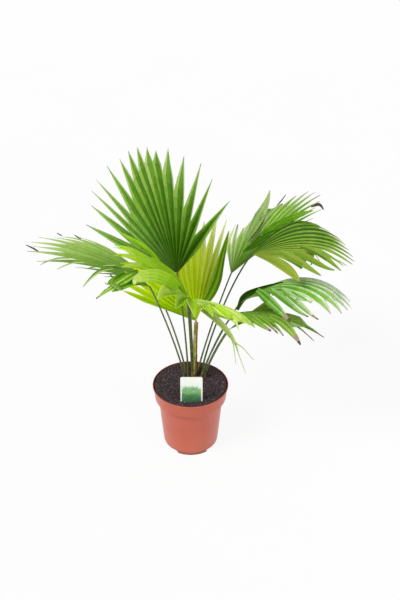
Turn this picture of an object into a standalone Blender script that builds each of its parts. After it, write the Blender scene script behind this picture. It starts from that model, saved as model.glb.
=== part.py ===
"""Potted fan palm: a nursery pot with soil and a plant label, a short stem, and ten fan leaves.

Metres, +Z up. The pot stands on z = 0 with its axis on the Z axis, and the leaves spread from a
stem a little behind the pot's middle. Each leaf is a long petiole and a pleated round blade.
"""

import math

import bmesh
import bpy
from mathutils import Vector

MM = 0.001
CLEARANCE = 0.3 * MM        # gap between pieces that touch on the real plant

# Pot: a 19 cm injection-moulded nursery pot
POT_HEIGHT = 177 * MM
POT_RIM_RADIUS = 95 * MM
POT_WALL = 1.8 * MM
POT_FLOOR = 3 * MM
POT_BASE_RADIUS = 68.5 * MM
POT_SHOULDER_RADIUS = 81 * MM     # body, just under the collar
POT_COLLAR_RADIUS = 89.5 * MM     # lower edge of the collar
POT_COLLAR_HEIGHT = 37 * MM
POT_LIP_HEIGHT = 3.5 * MM
POT_LIP_DEPTH = 2.4 * MM
POT_STEPS = 48
DRAIN_NOTCHES = 8
DRAIN_NOTCH_RADIUS = 6.5 * MM
DRAIN_HOLES = 6
DRAIN_HOLE_RADIUS = 5 * MM
DRAIN_HOLE_RING = 42 * MM

# Soil: fills the pot to just under the lip
SOIL_LEVEL = 167 * MM
SOIL_EDGE_DROP = 3 * MM

# Label: a plastic card pushed into the soil at the front
LABEL_WIDTH = 54 * MM
LABEL_HEIGHT = 80 * MM
LABEL_THICKNESS = 1 * MM
LABEL_CORNER = 4 * MM
LABEL_PLACE = Vector((3 * MM, -66 * MM, SOIL_LEVEL + CLEARANCE))

# Stem: a bundle of leaf bases round the youngest petiole
STEM_FOOT = Vector((9 * MM, 46 * MM, SOIL_LEVEL + CLEARANCE))
STEM_TOP = Vector((13 * MM, 45.5 * MM, SOIL_LEVEL + 132 * MM))
STEM_FOOT_RADIUS = 8.5 * MM
STEM_WAIST_RADIUS = 6.6 * MM
STEM_TOP_RADIUS = 5.4 * MM

# Petioles and blades
PETIOLE_FOOT_RADIUS = 2.7 * MM
PETIOLE_TIP_RADIUS = 1.9 * MM
PETIOLE_POINTS = 11
PETIOLE_HEEL = 1 * MM       # upright start, so the foot is cut level
PETIOLE_RISE = 0.1          # handle at the foot, as a share of the run
PETIOLE_ARRIVAL = 0.3       # share of the blade's own direction in the last stretch
PETIOLE_REACH = 0.3         # handle at the hub
HUB_RADIUS = 3.6 * MM       # a blade's ribs start here, round the knob that ends its petiole
KNOB = ((-1.7, 0.58), (-0.9, 0.6), (-0.45, 0.9), (0, 1), (0.45, 0.9), (0.85, 0.55), (1, 0.15))
BLADE_THICKNESS_SHARE = 0.0105   # of the blade's reach
PLEAT = 0.45                # slope of each pleat's two halves
SAG_POWER = 1.5             # how late along a rib its weight bends it
RIB_STEPS = 24
FUSED_STATIONS = (0.0, 0.35, 0.7, 1.0)
FREE_STATIONS = (0.35, 0.7, 1.0)
FREE_TAPER = 0.85
LENGTH_WOBBLE = 0.035

# One row for each leaf: where its petiole leaves the soil, where the ribs meet, where the middle rib
# and the upper face point (compass heading and rise in degrees), the fan's opening angle, how its
# sides lift, how its ribs sag and how much more on its left than on its right, the length of its
# middle rib, the outer ribs' share of that, how much longer its left is, how far the leaflets are
# joined, and how many there are.
LEAVES = {
    "upright": dict(foot=(-6, 38), hub=(-29, -12, 509), aim=(133, 65), face=(-129, -11), span=120,
                    lift=5, sag=0.05, lop=0, reach=303, side=1.02, slant=-0.04, joined=0.64, leaflets=17),
    "front": dict(foot=(5, 27), hub=(-4, -60, 471), aim=(-97, 32), face=(46, 48), span=190,
                  lift=20, sag=0.72, lop=0.3, reach=182, side=1.1, slant=-0.07, joined=0.56, leaflets=17),
    "young": dict(foot=None, hub=(14, 45, 336), aim=(150, 64), face=(-85, 19), span=86,
                  lift=5, sag=0.05, lop=0, reach=238, side=1.0, slant=-0.1, joined=0.72, leaflets=14),
    "far_left": dict(foot=(-13, 58), hub=(-103, 96, 432), aim=(184, 22), face=(-66, 72), span=60,
                     lift=4, sag=0.21, lop=-0.45, reach=290, side=0.63, slant=-0.09, joined=0.52,
                     leaflets=12),
    "low_left": dict(foot=(-17, 40), hub=(-93, -20, 476), aim=(234, 47), face=(-63, 52), span=33,
                     lift=2, sag=1.08, lop=-0.67, reach=190, side=1.02, slant=-0.09, joined=0.6,
                     leaflets=6),
    "upper_right": dict(foot=(20, 66), hub=(102, 160, 402), aim=(55, 25), face=(-155, 19), span=100,
                        lift=0, sag=0.25, lop=-0.26, reach=330, side=0.74, slant=0.02, joined=0.6,
                        leaflets=14),
    "right": dict(foot=(29, 58), hub=(146, 30, 536), aim=(-20, 25), face=(-137, 48), span=88,
                  lift=6, sag=0.79, lop=1.2, reach=250, side=0.68, slant=0, joined=0.58, leaflets=14),
    "mid_right": dict(foot=(26, 29), hub=(117, 0, 415), aim=(-13, 43), face=(-223, 45), span=75,
                      lift=2, sag=1.5, lop=0.13, reach=302, side=0.76, slant=0, joined=0.58, leaflets=11),
    "low_right": dict(foot=(32, 45), hub=(108, 15, 380), aim=(-34, 19), face=(-28, 34), span=80,
                      lift=2, sag=0.64, lop=0.38, reach=212, side=1.02, slant=0, joined=0.5, leaflets=8),
    "folded": dict(foot=(34, 34), hub=(94, 8, 336), aim=(15, 29), face=(-90, 50), span=16,
                   lift=0, sag=0.2, lop=0, reach=130, side=0.95, slant=0, joined=0.6, leaflets=3),
}


def clear_scene():
    for thing in list(bpy.data.objects):
        bpy.data.objects.remove(thing, do_unlink=True)


def make_collection(name):
    collection = bpy.data.collections.new(name)
    bpy.context.scene.collection.children.link(collection)
    return collection


def make_material(name, colour, roughness):
    material = bpy.data.materials.new(name)
    material.use_nodes = True
    shader = material.node_tree.nodes["Principled BSDF"]
    shader.inputs["Base Color"].default_value = (*colour, 1.0)
    shader.inputs["Roughness"].default_value = roughness
    return material


def terracotta_plastic():
    return make_material("terracotta plastic", (0.58, 0.16, 0.09), 0.5)


def peat():
    return make_material("peat", (0.035, 0.022, 0.018), 0.95)


def card_plastic():
    return make_material("white card plastic", (0.85, 0.87, 0.84), 0.4)


def leaf_base():
    return make_material("leaf base fibre", (0.23, 0.16, 0.05), 0.7)


def petiole_skin():
    return make_material("petiole skin", (0.07, 0.12, 0.04), 0.5)


def leaf_green():
    return make_material("leaf green", (0.13, 0.27, 0.03), 0.45)


def add_object(name, data, collection, material):
    thing = bpy.data.objects.new(name, data)
    collection.objects.link(thing)
    data.materials.append(material)
    return thing


def turned(name, profile, collection, material, steps=POT_STEPS):
    """A closed (radius, height) profile turned round the Z axis, from top to bottom on its outside."""
    mesh = bpy.data.meshes.new(name)
    points = [(radius, 0.0, height) for radius, height in profile]
    edges = [(i, i + 1) for i in range(len(points) - 1)]
    mesh.from_pydata(points, edges, [])
    thing = add_object(name, mesh, collection, material)
    screw = thing.modifiers.new("Screw", "SCREW")
    screw.steps = steps
    screw.render_steps = steps
    screw.use_merge_vertices = True
    screw.merge_threshold = 0.00005
    screw.use_smooth_shade = False
    return thing


def body_radius(height):
    """Outer radius of the pot's tapered body at a height."""
    share = height / (POT_HEIGHT - POT_COLLAR_HEIGHT)
    return POT_BASE_RADIUS + (POT_SHOULDER_RADIUS - POT_BASE_RADIUS) * share


def pot_profile():
    collar_foot = POT_HEIGHT - POT_COLLAR_HEIGHT
    lip_foot = POT_HEIGHT - POT_LIP_HEIGHT
    wall_top = POT_RIM_RADIUS - POT_LIP_DEPTH
    bevel = 1.2 * MM
    return [
        (0.0, POT_FLOOR),
        (POT_BASE_RADIUS - POT_WALL - 2 * bevel, POT_FLOOR),
        (body_radius(POT_FLOOR + 2 * bevel) - POT_WALL, POT_FLOOR + 2 * bevel),
        (POT_SHOULDER_RADIUS - POT_WALL, collar_foot - POT_WALL),
        (POT_COLLAR_RADIUS - POT_WALL, collar_foot + 2 * POT_WALL),
        (wall_top - POT_WALL, POT_HEIGHT - bevel),
        (wall_top - POT_WALL + bevel, POT_HEIGHT),
        (POT_RIM_RADIUS - bevel, POT_HEIGHT),
        (POT_RIM_RADIUS, POT_HEIGHT - bevel),
        (POT_RIM_RADIUS, lip_foot),
        (wall_top, lip_foot - bevel),
        (POT_COLLAR_RADIUS, collar_foot + bevel),
        (POT_COLLAR_RADIUS - bevel, collar_foot),
        (POT_SHOULDER_RADIUS, collar_foot - bevel),
        (body_radius(2 * bevel), 2 * bevel),
        (POT_BASE_RADIUS - 2 * bevel, 0.0),
        (0.0, 0.0),
    ]


def cutter_rod(name, radius, length, place, rotation, collection):
    bpy.ops.mesh.primitive_cylinder_add(
        vertices=12, radius=radius, depth=length, location=place, rotation=rotation
    )
    rod = bpy.context.object
    rod.name = name
    rod.hide_render = True
    rod.display_type = "WIRE"
    for owner in list(rod.users_collection):
        owner.objects.unlink(rod)
    collection.objects.link(rod)


def make_drain_cutters(collection):
    """Arched notches through the foot's corner, and round holes through the floor."""
    for i in range(DRAIN_NOTCHES):
        turn = math.tau * (i + 0.5) / DRAIN_NOTCHES
        place = (POT_BASE_RADIUS * math.cos(turn), POT_BASE_RADIUS * math.sin(turn), 0.0)
        cutter_rod(f"notch_{i}", DRAIN_NOTCH_RADIUS, 16 * MM, place, (0, math.pi / 2, turn), collection)
    for i in range(DRAIN_HOLES):
        turn = math.tau * i / DRAIN_HOLES
        place = (DRAIN_HOLE_RING * math.cos(turn), DRAIN_HOLE_RING * math.sin(turn), 0.0)
        cutter_rod(f"hole_{i}", DRAIN_HOLE_RADIUS, 16 * MM, place, (0, 0, 0), collection)


def make_pot(collection, cutters):
    pot = turned("pot", pot_profile(), collection, terracotta_plastic())
    make_drain_cutters(cutters)
    drain = pot.modifiers.new("Drain", "BOOLEAN")
    drain.operand_type = "COLLECTION"
    drain.collection = cutters
    drain.operation = "DIFFERENCE"
    drain.solver = "EXACT"


def soil_radius(height):
    """Inside radius of the collar at a height, less the clearance."""
    share = (height - POT_HEIGHT + POT_COLLAR_HEIGHT) / POT_COLLAR_HEIGHT
    top = POT_RIM_RADIUS - POT_LIP_DEPTH
    return POT_COLLAR_RADIUS + (top - POT_COLLAR_RADIUS) * share - POT_WALL - 2 * CLEARANCE


def make_soil(collection):
    collar_foot = POT_HEIGHT - POT_COLLAR_HEIGHT
    low = POT_FLOOR + CLEARANCE
    bend = 5 * MM
    edge_level = SOIL_LEVEL - SOIL_EDGE_DROP
    gap = POT_WALL + 2 * CLEARANCE
    profile = [
        (0.0, SOIL_LEVEL),
        (POT_RIM_RADIUS * 0.8, SOIL_LEVEL),
        (soil_radius(edge_level), edge_level),
        (POT_COLLAR_RADIUS - gap, collar_foot + 2 * POT_WALL + CLEARANCE),
        (POT_SHOULDER_RADIUS - gap, collar_foot - POT_WALL),
        (body_radius(low + bend) - gap, low + bend),
        (body_radius(low) - gap - bend, low),
        (0.0, low),
    ]
    turned("soil", profile, collection, peat(), steps=48)


def make_label(collection):
    """A card with rounded upper corners, upright and facing the front."""
    half = LABEL_WIDTH / 2
    outline = [(-half, 0.0), (half, 0.0)]
    for centre, start in ((half - LABEL_CORNER, 0), (-half + LABEL_CORNER, 90)):
        for step in range(5):
            turn = math.radians(start + 22.5 * step)
            outline.append((
                centre + LABEL_CORNER * math.cos(turn),
                LABEL_HEIGHT - LABEL_CORNER + LABEL_CORNER * math.sin(turn),
            ))
    curve = bpy.data.curves.new("label", "CURVE")
    curve.dimensions = "2D"
    curve.fill_mode = "BOTH"
    curve.extrude = LABEL_THICKNESS / 2
    spline = curve.splines.new("POLY")
    spline.points.add(len(outline) - 1)
    for point, (x, y) in zip(spline.points, outline):
        point.co = (x, y, 0.0, 1.0)
    spline.use_cyclic_u = True
    label = add_object("label", curve, collection, card_plastic())
    label.location = LABEL_PLACE
    label.rotation_euler = (math.pi / 2, 0.0, 0.0)


def tube(name, points, radii, collection, material):
    curve = bpy.data.curves.new(name, "CURVE")
    curve.dimensions = "3D"
    curve.bevel_depth = 1.0
    curve.bevel_resolution = 2
    curve.use_fill_caps = True
    spline = curve.splines.new("POLY")
    spline.points.add(len(points) - 1)
    for point, place, radius in zip(spline.points, points, radii):
        point.co = (*place, 1.0)
        point.radius = radius
    return add_object(name, curve, collection, material)


def bezier(ends, share):
    a, b, c, d = ends
    rest = 1 - share
    return a * rest**3 + b * (3 * rest**2 * share) + c * (3 * rest * share**2) + d * share**3


def heading_vector(heading, rise):
    turn = math.radians(heading)
    tilt = math.radians(rise)
    return Vector((math.cos(tilt) * math.cos(turn), math.cos(tilt) * math.sin(turn), math.sin(tilt)))


def blade_axes(leaf):
    """Unit vectors along the middle rib, to its left, and out of the upper face."""
    along = heading_vector(*leaf["aim"])
    up = heading_vector(*leaf["face"])
    up = (up - along * up.dot(along)).normalized()
    return along, up.cross(along), up


def make_stem(collection):
    count = 9
    shares = [i / (count - 1) for i in range(count)]
    points = [STEM_FOOT.lerp(STEM_TOP, share) for share in shares]
    swell = STEM_FOOT_RADIUS - STEM_WAIST_RADIUS
    radii = [
        STEM_WAIST_RADIUS + (STEM_TOP_RADIUS - STEM_WAIST_RADIUS) * share + swell * (1 - share) ** 6
        for share in shares
    ]
    tube("stem", points, radii, collection, leaf_base())


def petiole_path(leaf):
    """From the soil, or from the top of the stem, up to where the ribs meet."""
    hub = Vector(leaf["hub"]) * MM
    if leaf["foot"] is None:
        foot = STEM_TOP + Vector((0, 0, CLEARANCE))
    else:
        foot = Vector((leaf["foot"][0] * MM, leaf["foot"][1] * MM, SOIL_LEVEL + CLEARANCE))
    heel = foot + Vector((0, 0, PETIOLE_HEEL))
    run = hub - heel
    arrival = run.normalized().lerp(blade_axes(leaf)[0], PETIOLE_ARRIVAL).normalized()
    ends = (
        heel,
        heel + Vector((0, 0, run.length * PETIOLE_RISE)),
        hub - arrival * run.length * PETIOLE_REACH,
        hub,
    )
    return [foot] + [bezier(ends, i / (PETIOLE_POINTS - 1)) for i in range(PETIOLE_POINTS)]


def make_petiole(key, leaf, collection):
    """A slender stalk, ending in a round knob that the blade's ribs stand round."""
    points = petiole_path(leaf)
    hub = points.pop()
    size = HUB_RADIUS - CLEARANCE
    while (hub - points[-1]).length < 2 * size:
        points.pop()
    start = STEM_TOP_RADIUS if leaf["foot"] is None else PETIOLE_FOOT_RADIUS
    count = len(points)
    radii = [start + (PETIOLE_TIP_RADIUS - start) * (i / count) ** 0.6 for i in range(count)]
    onward = (hub - points[-1]).normalized()
    for place, radius in KNOB:
        points.append(hub + onward * (size * place))
        radii.append(size * radius)
    tube(f"petiole_{key}", points, radii, collection, petiole_skin())


def wobble(index):
    """A fixed, uneven number from -1 to 1 for each leaflet."""
    return math.sin(12.9898 * index + 4.1)


def rib_reach(leaf, across):
    share = 1 - (1 - leaf["side"]) * across * across + leaf["slant"] * across
    return leaf["reach"] * MM * share


def rib_point(leaf, across, length):
    """A point on the blade: along the rib at a share across the fan, -1 to 1, sagging by its weight."""
    along, left, up = blade_axes(leaf)
    turn = math.radians(leaf["span"] / 2 * across)
    lift = math.radians(leaf["lift"]) * abs(math.sin(turn))
    start = (along * math.cos(turn) + left * math.sin(turn)) * math.cos(lift) + up * math.sin(lift)
    sag = max(leaf["sag"] + leaf["lop"] * across, 0.0)
    place = Vector(leaf["hub"]) * MM
    step = length / RIB_STEPS
    for i in range(RIB_STEPS):
        share = (i + 0.5) * step / (leaf["reach"] * MM)
        pull = Vector((0, 0, -sag * share**SAG_POWER))
        place = place + (start + pull).normalized() * step
    return place


def rib_frame(leaf, across, length):
    """The point, the unit vector across the fan, and the unit normal there."""
    small = 0.01
    here = rib_point(leaf, across, length)
    forward = (rib_point(leaf, across, length + small * MM) - here).normalized()
    over = rib_point(leaf, across + small, length) - rib_point(leaf, across - small, length)
    over = (over - forward * over.dot(forward)).normalized()
    return here, over, forward.cross(over)


def joined_length(leaf, across):
    """How far from the hub two neighbouring leaflets are joined."""
    share = leaf["joined"] * (1 - 0.22 * across * across)
    return rib_reach(leaf, across) * share


def blade_mesh(key, leaf):
    """One pleated sheet: a valley along each leaflet's rib and a ridge where two leaflets join."""
    count = leaf["leaflets"]
    half_turn = math.radians(leaf["span"] / count / 2)
    mesh = bmesh.new()

    def ridge_at(border, station):
        across = 2 * border / count - 1
        length = HUB_RADIUS + (joined_length(leaf, across) - HUB_RADIUS) * station
        place, _, normal = rib_frame(leaf, across, length)
        return mesh.verts.new(place + normal * (PLEAT * length * math.tan(half_turn) / 2))

    ridges = [[ridge_at(border, station) for station in FUSED_STATIONS] for border in range(count + 1)]
    for i in range(count):
        across = (2 * i + 1) / count - 1
        split = (joined_length(leaf, 2 * i / count - 1) + joined_length(leaf, 2 * (i + 1) / count - 1)) / 2
        reach = rib_reach(leaf, across) * (1 + LENGTH_WOBBLE * wobble(i))
        right = list(ridges[i])
        left = list(ridges[i + 1])
        middle = []
        for station in FUSED_STATIONS:
            length = HUB_RADIUS + (split - HUB_RADIUS) * station
            place, _, normal = rib_frame(leaf, across, length)
            middle.append(mesh.verts.new(place - normal * (PLEAT * length * math.tan(half_turn) / 2)))
        half_width = split * math.tan(half_turn)
        for station in FREE_STATIONS:
            place, over, normal = rib_frame(leaf, across, split + (reach - split) * station)
            if station == 1.0:
                middle.append(mesh.verts.new(place))
                break
            width = half_width * (1 - station) ** FREE_TAPER
            rise = normal * (PLEAT * width / 2)
            middle.append(mesh.verts.new(place - rise))
            right.append(mesh.verts.new(place - over * width + rise))
            left.append(mesh.verts.new(place + over * width + rise))
        for j in range(len(right) - 1):
            mesh.faces.new((right[j], right[j + 1], middle[j + 1], middle[j]))
            mesh.faces.new((middle[j], middle[j + 1], left[j + 1], left[j]))
        mesh.faces.new((right[-1], middle[-1], middle[-2]))
        mesh.faces.new((middle[-2], middle[-1], left[-1]))
    data = bpy.data.meshes.new(f"frond_{key}")
    mesh.to_mesh(data)
    mesh.free()
    return data


def make_blade(key, leaf, collection):
    blade = add_object(f"frond_{key}", blade_mesh(key, leaf), collection, leaf_green())
    shell = blade.modifiers.new("Thickness", "SOLIDIFY")
    shell.thickness = leaf["reach"] * MM * max(leaf["side"], 1.0) * BLADE_THICKNESS_SHARE
    shell.offset = 0.0


def main():
    clear_scene()
    palm = make_collection("potted fan palm")
    cutters = make_collection("cutters")
    cutters.hide_render = True
    make_pot(palm, cutters)
    make_soil(palm)
    make_label(palm)
    make_stem(palm)
    for key, leaf in LEAVES.items():
        make_petiole(key, leaf, palm)
        make_blade(key, leaf, palm)


main()
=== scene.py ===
import math
import random

import bmesh
import bpy
from mathutils import Matrix, Vector, noise


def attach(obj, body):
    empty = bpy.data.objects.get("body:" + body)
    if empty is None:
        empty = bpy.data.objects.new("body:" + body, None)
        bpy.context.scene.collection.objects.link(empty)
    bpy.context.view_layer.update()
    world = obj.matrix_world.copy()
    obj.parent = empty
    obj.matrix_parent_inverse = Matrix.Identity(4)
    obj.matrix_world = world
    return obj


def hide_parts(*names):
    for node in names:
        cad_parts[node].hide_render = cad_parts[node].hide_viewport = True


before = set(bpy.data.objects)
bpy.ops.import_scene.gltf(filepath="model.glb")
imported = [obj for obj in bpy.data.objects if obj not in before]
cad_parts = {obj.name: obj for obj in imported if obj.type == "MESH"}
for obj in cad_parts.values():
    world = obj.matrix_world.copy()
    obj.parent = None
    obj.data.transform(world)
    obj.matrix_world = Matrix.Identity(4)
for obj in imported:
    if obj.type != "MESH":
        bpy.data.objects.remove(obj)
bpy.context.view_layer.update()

mm = 0.001
pieces = bpy.data.collections.new("potted fan palm looks")
bpy.context.scene.collection.children.link(pieces)


def linearColour(hexText):
    channels = [int(hexText[i:i + 2], 16) / 255 for i in (1, 3, 5)]
    return [c / 12.92 if c <= 0.04045 else ((c + 0.055) / 1.055) ** 2.4 for c in channels] + [1.0]


def mixHex(first, second, share):
    pairs = [(int(first[i:i + 2], 16), int(second[i:i + 2], 16)) for i in (1, 3, 5)]
    return "#" + "".join(f"{round(a + (b - a) * share):02X}" for a, b in pairs)


def addNode(tree, kind, settings=None, inputs=None):
    node = tree.nodes.new(kind)
    for key, value in (settings or {}).items():
        setattr(node, key, value)
    for key, value in (inputs or {}).items():
        if isinstance(value, tuple) and isinstance(value[0], bpy.types.Node):
            tree.links.new(value[0].outputs[value[1]], node.inputs[key])
        elif isinstance(value, bpy.types.Node):
            tree.links.new(value.outputs[0], node.inputs[key])
        else:
            node.inputs[key].default_value = value
    return node


def newMaterial(name, colour, roughness, ior=1.45):
    material = bpy.data.materials.new(name)
    material.use_nodes = True
    shader = material.node_tree.nodes["Principled BSDF"]
    shader.inputs["Base Color"].default_value = linearColour(colour)
    shader.inputs["Roughness"].default_value = roughness
    shader.inputs["IOR"].default_value = ior
    return material, material.node_tree, shader


def mottle(tree, shader, low, high, scale, detail=3.0, source="Object", edges=(0.35, 0.65)):
    # two near colours of the same stuff, dealt out by soft noise
    place = addNode(tree, "ShaderNodeTexCoord")
    spots = addNode(tree, "ShaderNodeTexNoise", None,
                    {"Vector": (place, source), "Scale": scale, "Detail": detail})
    ramp = addNode(tree, "ShaderNodeValToRGB", None, {"Fac": (spots, "Fac")})
    for stop, share, colour in zip(ramp.color_ramp.elements, edges, (low, high)):
        stop.position = share
        stop.color = linearColour(colour)
    tree.links.new(ramp.outputs["Color"], shader.inputs["Base Color"])
    return place, spots


def addObject(name, mesh):
    thing = bpy.data.objects.new(name, mesh)
    pieces.objects.link(thing)
    return thing


def keepMesh(name, mesh):
    # the built mesh kept as data
    data = bpy.data.meshes.new(name)
    mesh.to_mesh(data)
    mesh.free()
    return data


def smoothShade(data, sharpFrom=None):
    # smooth all over, but for edges sharper than this many degrees
    data.polygons.foreach_set("use_smooth", [True] * len(data.polygons))
    if sharpFrom is not None:
        data.set_sharp_from_angle(angle=math.radians(sharpFrom))


def newTree(name, sockets):
    # a Geometry Nodes group that takes and gives geometry, with these named inputs
    tree = bpy.data.node_groups.new(name, "GeometryNodeTree")
    for title, kind in (("Geometry", "Geometry"), *sockets):
        tree.interface.new_socket(title, in_out="INPUT", socket_type="NodeSocket" + kind)
    tree.interface.new_socket("Geometry", in_out="OUTPUT", socket_type="NodeSocketGeometry")
    return tree, addNode(tree, "NodeGroupInput")


def setInputs(modifier, values):
    for item in modifier.node_group.interface.items_tree:
        if item.item_type == "SOCKET" and item.in_out == "INPUT" and item.name in values:
            modifier[item.identifier] = values[item.name]


def plainMesh(thing, name):
    # the evaluated shape kept as a mesh of its own, with no modifier left
    seen = thing.evaluated_get(bpy.context.evaluated_depsgraph_get())
    mesh = bpy.data.meshes.new_from_object(seen)
    mesh.name = name
    bpy.data.objects.remove(thing, do_unlink=True)
    return addObject(name, mesh)


def finishPiece(piece, slot, *nodes):
    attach(piece, "root")
    if nodes:
        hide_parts(*nodes)


# the pot's and the soil's sizes, as the part's source has them
pot = {
    "height": 177 * mm, "rimRadius": 95 * mm, "wall": 1.8 * mm, "floor": 3 * mm,
    "baseRadius": 68.5 * mm, "shoulderRadius": 81 * mm, "collarRadius": 89.5 * mm,
    "collarHeight": 37 * mm, "lipHeight": 3.5 * mm, "lipDepth": 2.4 * mm, "steps": 144,
    "recess": 5.5 * mm, "footWidth": 9 * mm, "lipEdge": 1.8 * mm, "feet": 3, "footTurn": -86.5,
    "footHalf": 31, "footGap": 7 * mm, "holes": 6, "holeRadius": 5 * mm, "holeRing": 42 * mm,
    # inside: the inner wall's colour, darkened as painted shade
    "sharpFrom": 38, "outside": "#B2513A", "inside": "#553029", "paintedFootShade": "#7A3D30",
}
soil = {"level": 167 * mm, "edgeRise": 11.5 * mm, "rough": 1.5 * mm, "waves": 1.6 * mm, "rings": 46,
        "steps": 150, "dark": "#171112", "light": "#4A3B3D"}
gap = 0.3 * mm


def turnedMesh(name, profile, steps):
    mesh = bmesh.new()
    rings = []
    for radius, height in profile:
        if radius < 1e-6:
            rings.append([mesh.verts.new((0, 0, height))])
            continue
        ring = []
        for i in range(steps):
            turn = math.tau * i / steps
            ring.append(mesh.verts.new((radius * math.cos(turn), radius * math.sin(turn), height)))
        rings.append(ring)
    for first, second in zip(rings, rings[1:]):
        for i in range(steps):
            j = (i + 1) % steps
            corners = [first[i % len(first)], first[j % len(first)],
                       second[j % len(second)], second[i % len(second)]]
            mesh.faces.new(list(dict.fromkeys(corners)))
    bmesh.ops.recalc_face_normals(mesh, faces=mesh.faces)
    return keepMesh(name, mesh)


def bodyRadius(height):
    share = height / (pot["height"] - pot["collarHeight"])
    return pot["baseRadius"] + (pot["shoulderRadius"] - pot["baseRadius"]) * share


def roundCorner(before, corner, after, size, steps=4):
    # a quadratic arc in place of a profile's sharp corner
    corner = Vector(corner)
    start = corner + (Vector(before) - corner).normalized() * size
    end = corner + (Vector(after) - corner).normalized() * size
    arc = []
    for i in range(steps + 1):
        share = i / steps
        arc.append(tuple(start * (1 - share) ** 2 + corner * (2 * share * (1 - share)) + end * share ** 2))
    return arc


def potProfile():
    # down the inside, over the lip, down the outside and under the foot
    collarFoot = pot["height"] - pot["collarHeight"]
    lipFoot = pot["height"] - pot["lipHeight"]
    wallTop = pot["rimRadius"] - pot["lipDepth"]
    wall = pot["wall"]
    innerFloor = pot["recess"] + pot["floor"]
    footInside = pot["baseRadius"] - pot["footWidth"]
    corners = [
        (0.0, innerFloor, 0),
        (bodyRadius(innerFloor) - wall, innerFloor, 1.5),
        (pot["shoulderRadius"] - wall, collarFoot - wall, 1.5),
        (pot["collarRadius"] - wall, collarFoot + 2 * wall, 1.5),
        (wallTop - wall, pot["height"] - 8 * mm, 2.0),
        (pot["rimRadius"] - pot["lipEdge"], pot["height"], 0.7),
        (pot["rimRadius"], pot["height"], 0.9),
        (pot["rimRadius"], lipFoot, 0.5),
        (wallTop, lipFoot - 0.8 * mm, 0.6),
        (pot["collarRadius"], collarFoot, 1.6),
        (pot["shoulderRadius"], collarFoot - 0.6 * mm, 0.8),
        (bodyRadius(15 * mm), 15 * mm, 0),
        (pot["baseRadius"], 0.0, 1.6),
        (footInside, 0.0, 1.0),
        (footInside - mm, pot["recess"], 1.0),
        (0.0, pot["recess"], 0),
    ]
    points = []
    for i, (radius, height, size) in enumerate(corners):
        if not size:
            points.append((radius, height))
            continue
        points += roundCorner(corners[i - 1][:2], (radius, height), corners[i + 1][:2], size * mm)
    return points


def terracottaPlastic(name, colour):
    # injection-moulded polypropylene in terracotta: satin, with a faint flow mottle and fine scuffs, and
    # painted shade darkening it towards the foot
    material, tree, shader = newMaterial(name, colour, 0.36, 1.49)
    place = mottle(tree, shader, mixHex(colour, "#8A2A10", 0.1), mixHex(colour, "#D08A78", 0.1), 9.0, 4.0)[0]
    apart = addNode(tree, "ShaderNodeSeparateXYZ", None, {0: (place, "Object")})
    height = addNode(tree, "ShaderNodeMapRange", None,
                     {"Value": (apart, "Z"), "From Min": 3 * mm, "From Max": 13 * mm})   # painted shade, darker towards the foot
    footShaded = addNode(tree, "ShaderNodeMixRGB", None, {"Fac": height, "Color1": linearColour(pot["paintedFootShade"])})
    tree.links.new(shader.inputs["Base Color"].links[0].from_socket, footShaded.inputs["Color2"])
    tree.links.new(footShaded.outputs[0], shader.inputs["Base Color"])
    grain = addNode(tree, "ShaderNodeTexNoise", None,
                    {"Vector": (place, "Object"), "Scale": 900.0, "Detail": 2.0})   # 1 mm, drawn coarse
    stretch = addNode(tree, "ShaderNodeMapping", None,
                      {"Vector": (place, "Object"), "Scale": (260.0, 260.0, 12.0)})
    scuffs = addNode(tree, "ShaderNodeTexNoise", None, {"Vector": stretch, "Scale": 1.0, "Detail": 2.0})
    both = addNode(tree, "ShaderNodeMath", {"operation": "ADD"}, {0: (grain, "Fac"), 1: (scuffs, "Fac")})
    bump = addNode(tree, "ShaderNodeBump", None,
                   {"Strength": 0.35, "Distance": 0.00012, "Height": both})
    tree.links.new(bump.outputs["Normal"], shader.inputs["Normal"])
    return material


def makePot():
    shell = addObject("nurseryPot", turnedMesh("nurseryPot", potProfile(), pot["steps"]))
    between = 360 / pot["feet"]
    for vertex in shell.data.vertices:      # the rim of the base is cut away between the feet
        x, y, z = vertex.co
        if z < pot["recess"] and math.hypot(x, y) > pot["baseRadius"] - pot["footWidth"] - 2 * mm:
            heading = math.degrees(math.atan2(y, x)) - pot["footTurn"]
            off = abs((heading + between / 2) % between - between / 2)
            rise = min(max((off - pot["footHalf"]) / 4, 0), 1)
            vertex.co.z += (pot["footGap"] - z * 0.9) * rise * rise * (3 - 2 * rise)
    cutters = bmesh.new()
    for i in range(pot["holes"]):
        turn = math.tau * i / pot["holes"]
        place = Matrix.Rotation(turn, 4, "Z") @ Matrix.Translation((pot["holeRing"], 0, 5 * mm))
        bmesh.ops.create_cone(cutters, cap_ends=True, segments=36, radius1=pot["holeRadius"],
                              radius2=pot["holeRadius"], depth=16 * mm, matrix=place)
    drain = addObject("drainCutters", keepMesh("drainCutters", cutters))
    cut = shell.modifiers.new("Drain", "BOOLEAN")
    cut.object = drain
    cut.solver = "EXACT"
    shell = plainMesh(shell, "nurseryPot")
    bpy.data.objects.remove(drain, do_unlink=True)
    smoothShade(shell.data, pot["sharpFrom"])
    shell.data.materials.clear()
    shell.data.materials.append(terracottaPlastic("moulded terracotta polypropylene", pot["outside"]))
    shell.data.materials.append(terracottaPlastic("terracotta inner wall, painted shade", pot["inside"]))
    # inner wall faces above the foot take the darker inside colour, a painted shade
    for face in shell.data.polygons:
        inwards = face.normal.x * face.center.x + face.normal.y * face.center.y
        face.material_index = int(inwards < -0.3 * face.center.xy.length and face.center.z > 20 * mm)
    finishPiece(shell, "pot", "pot")


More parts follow.
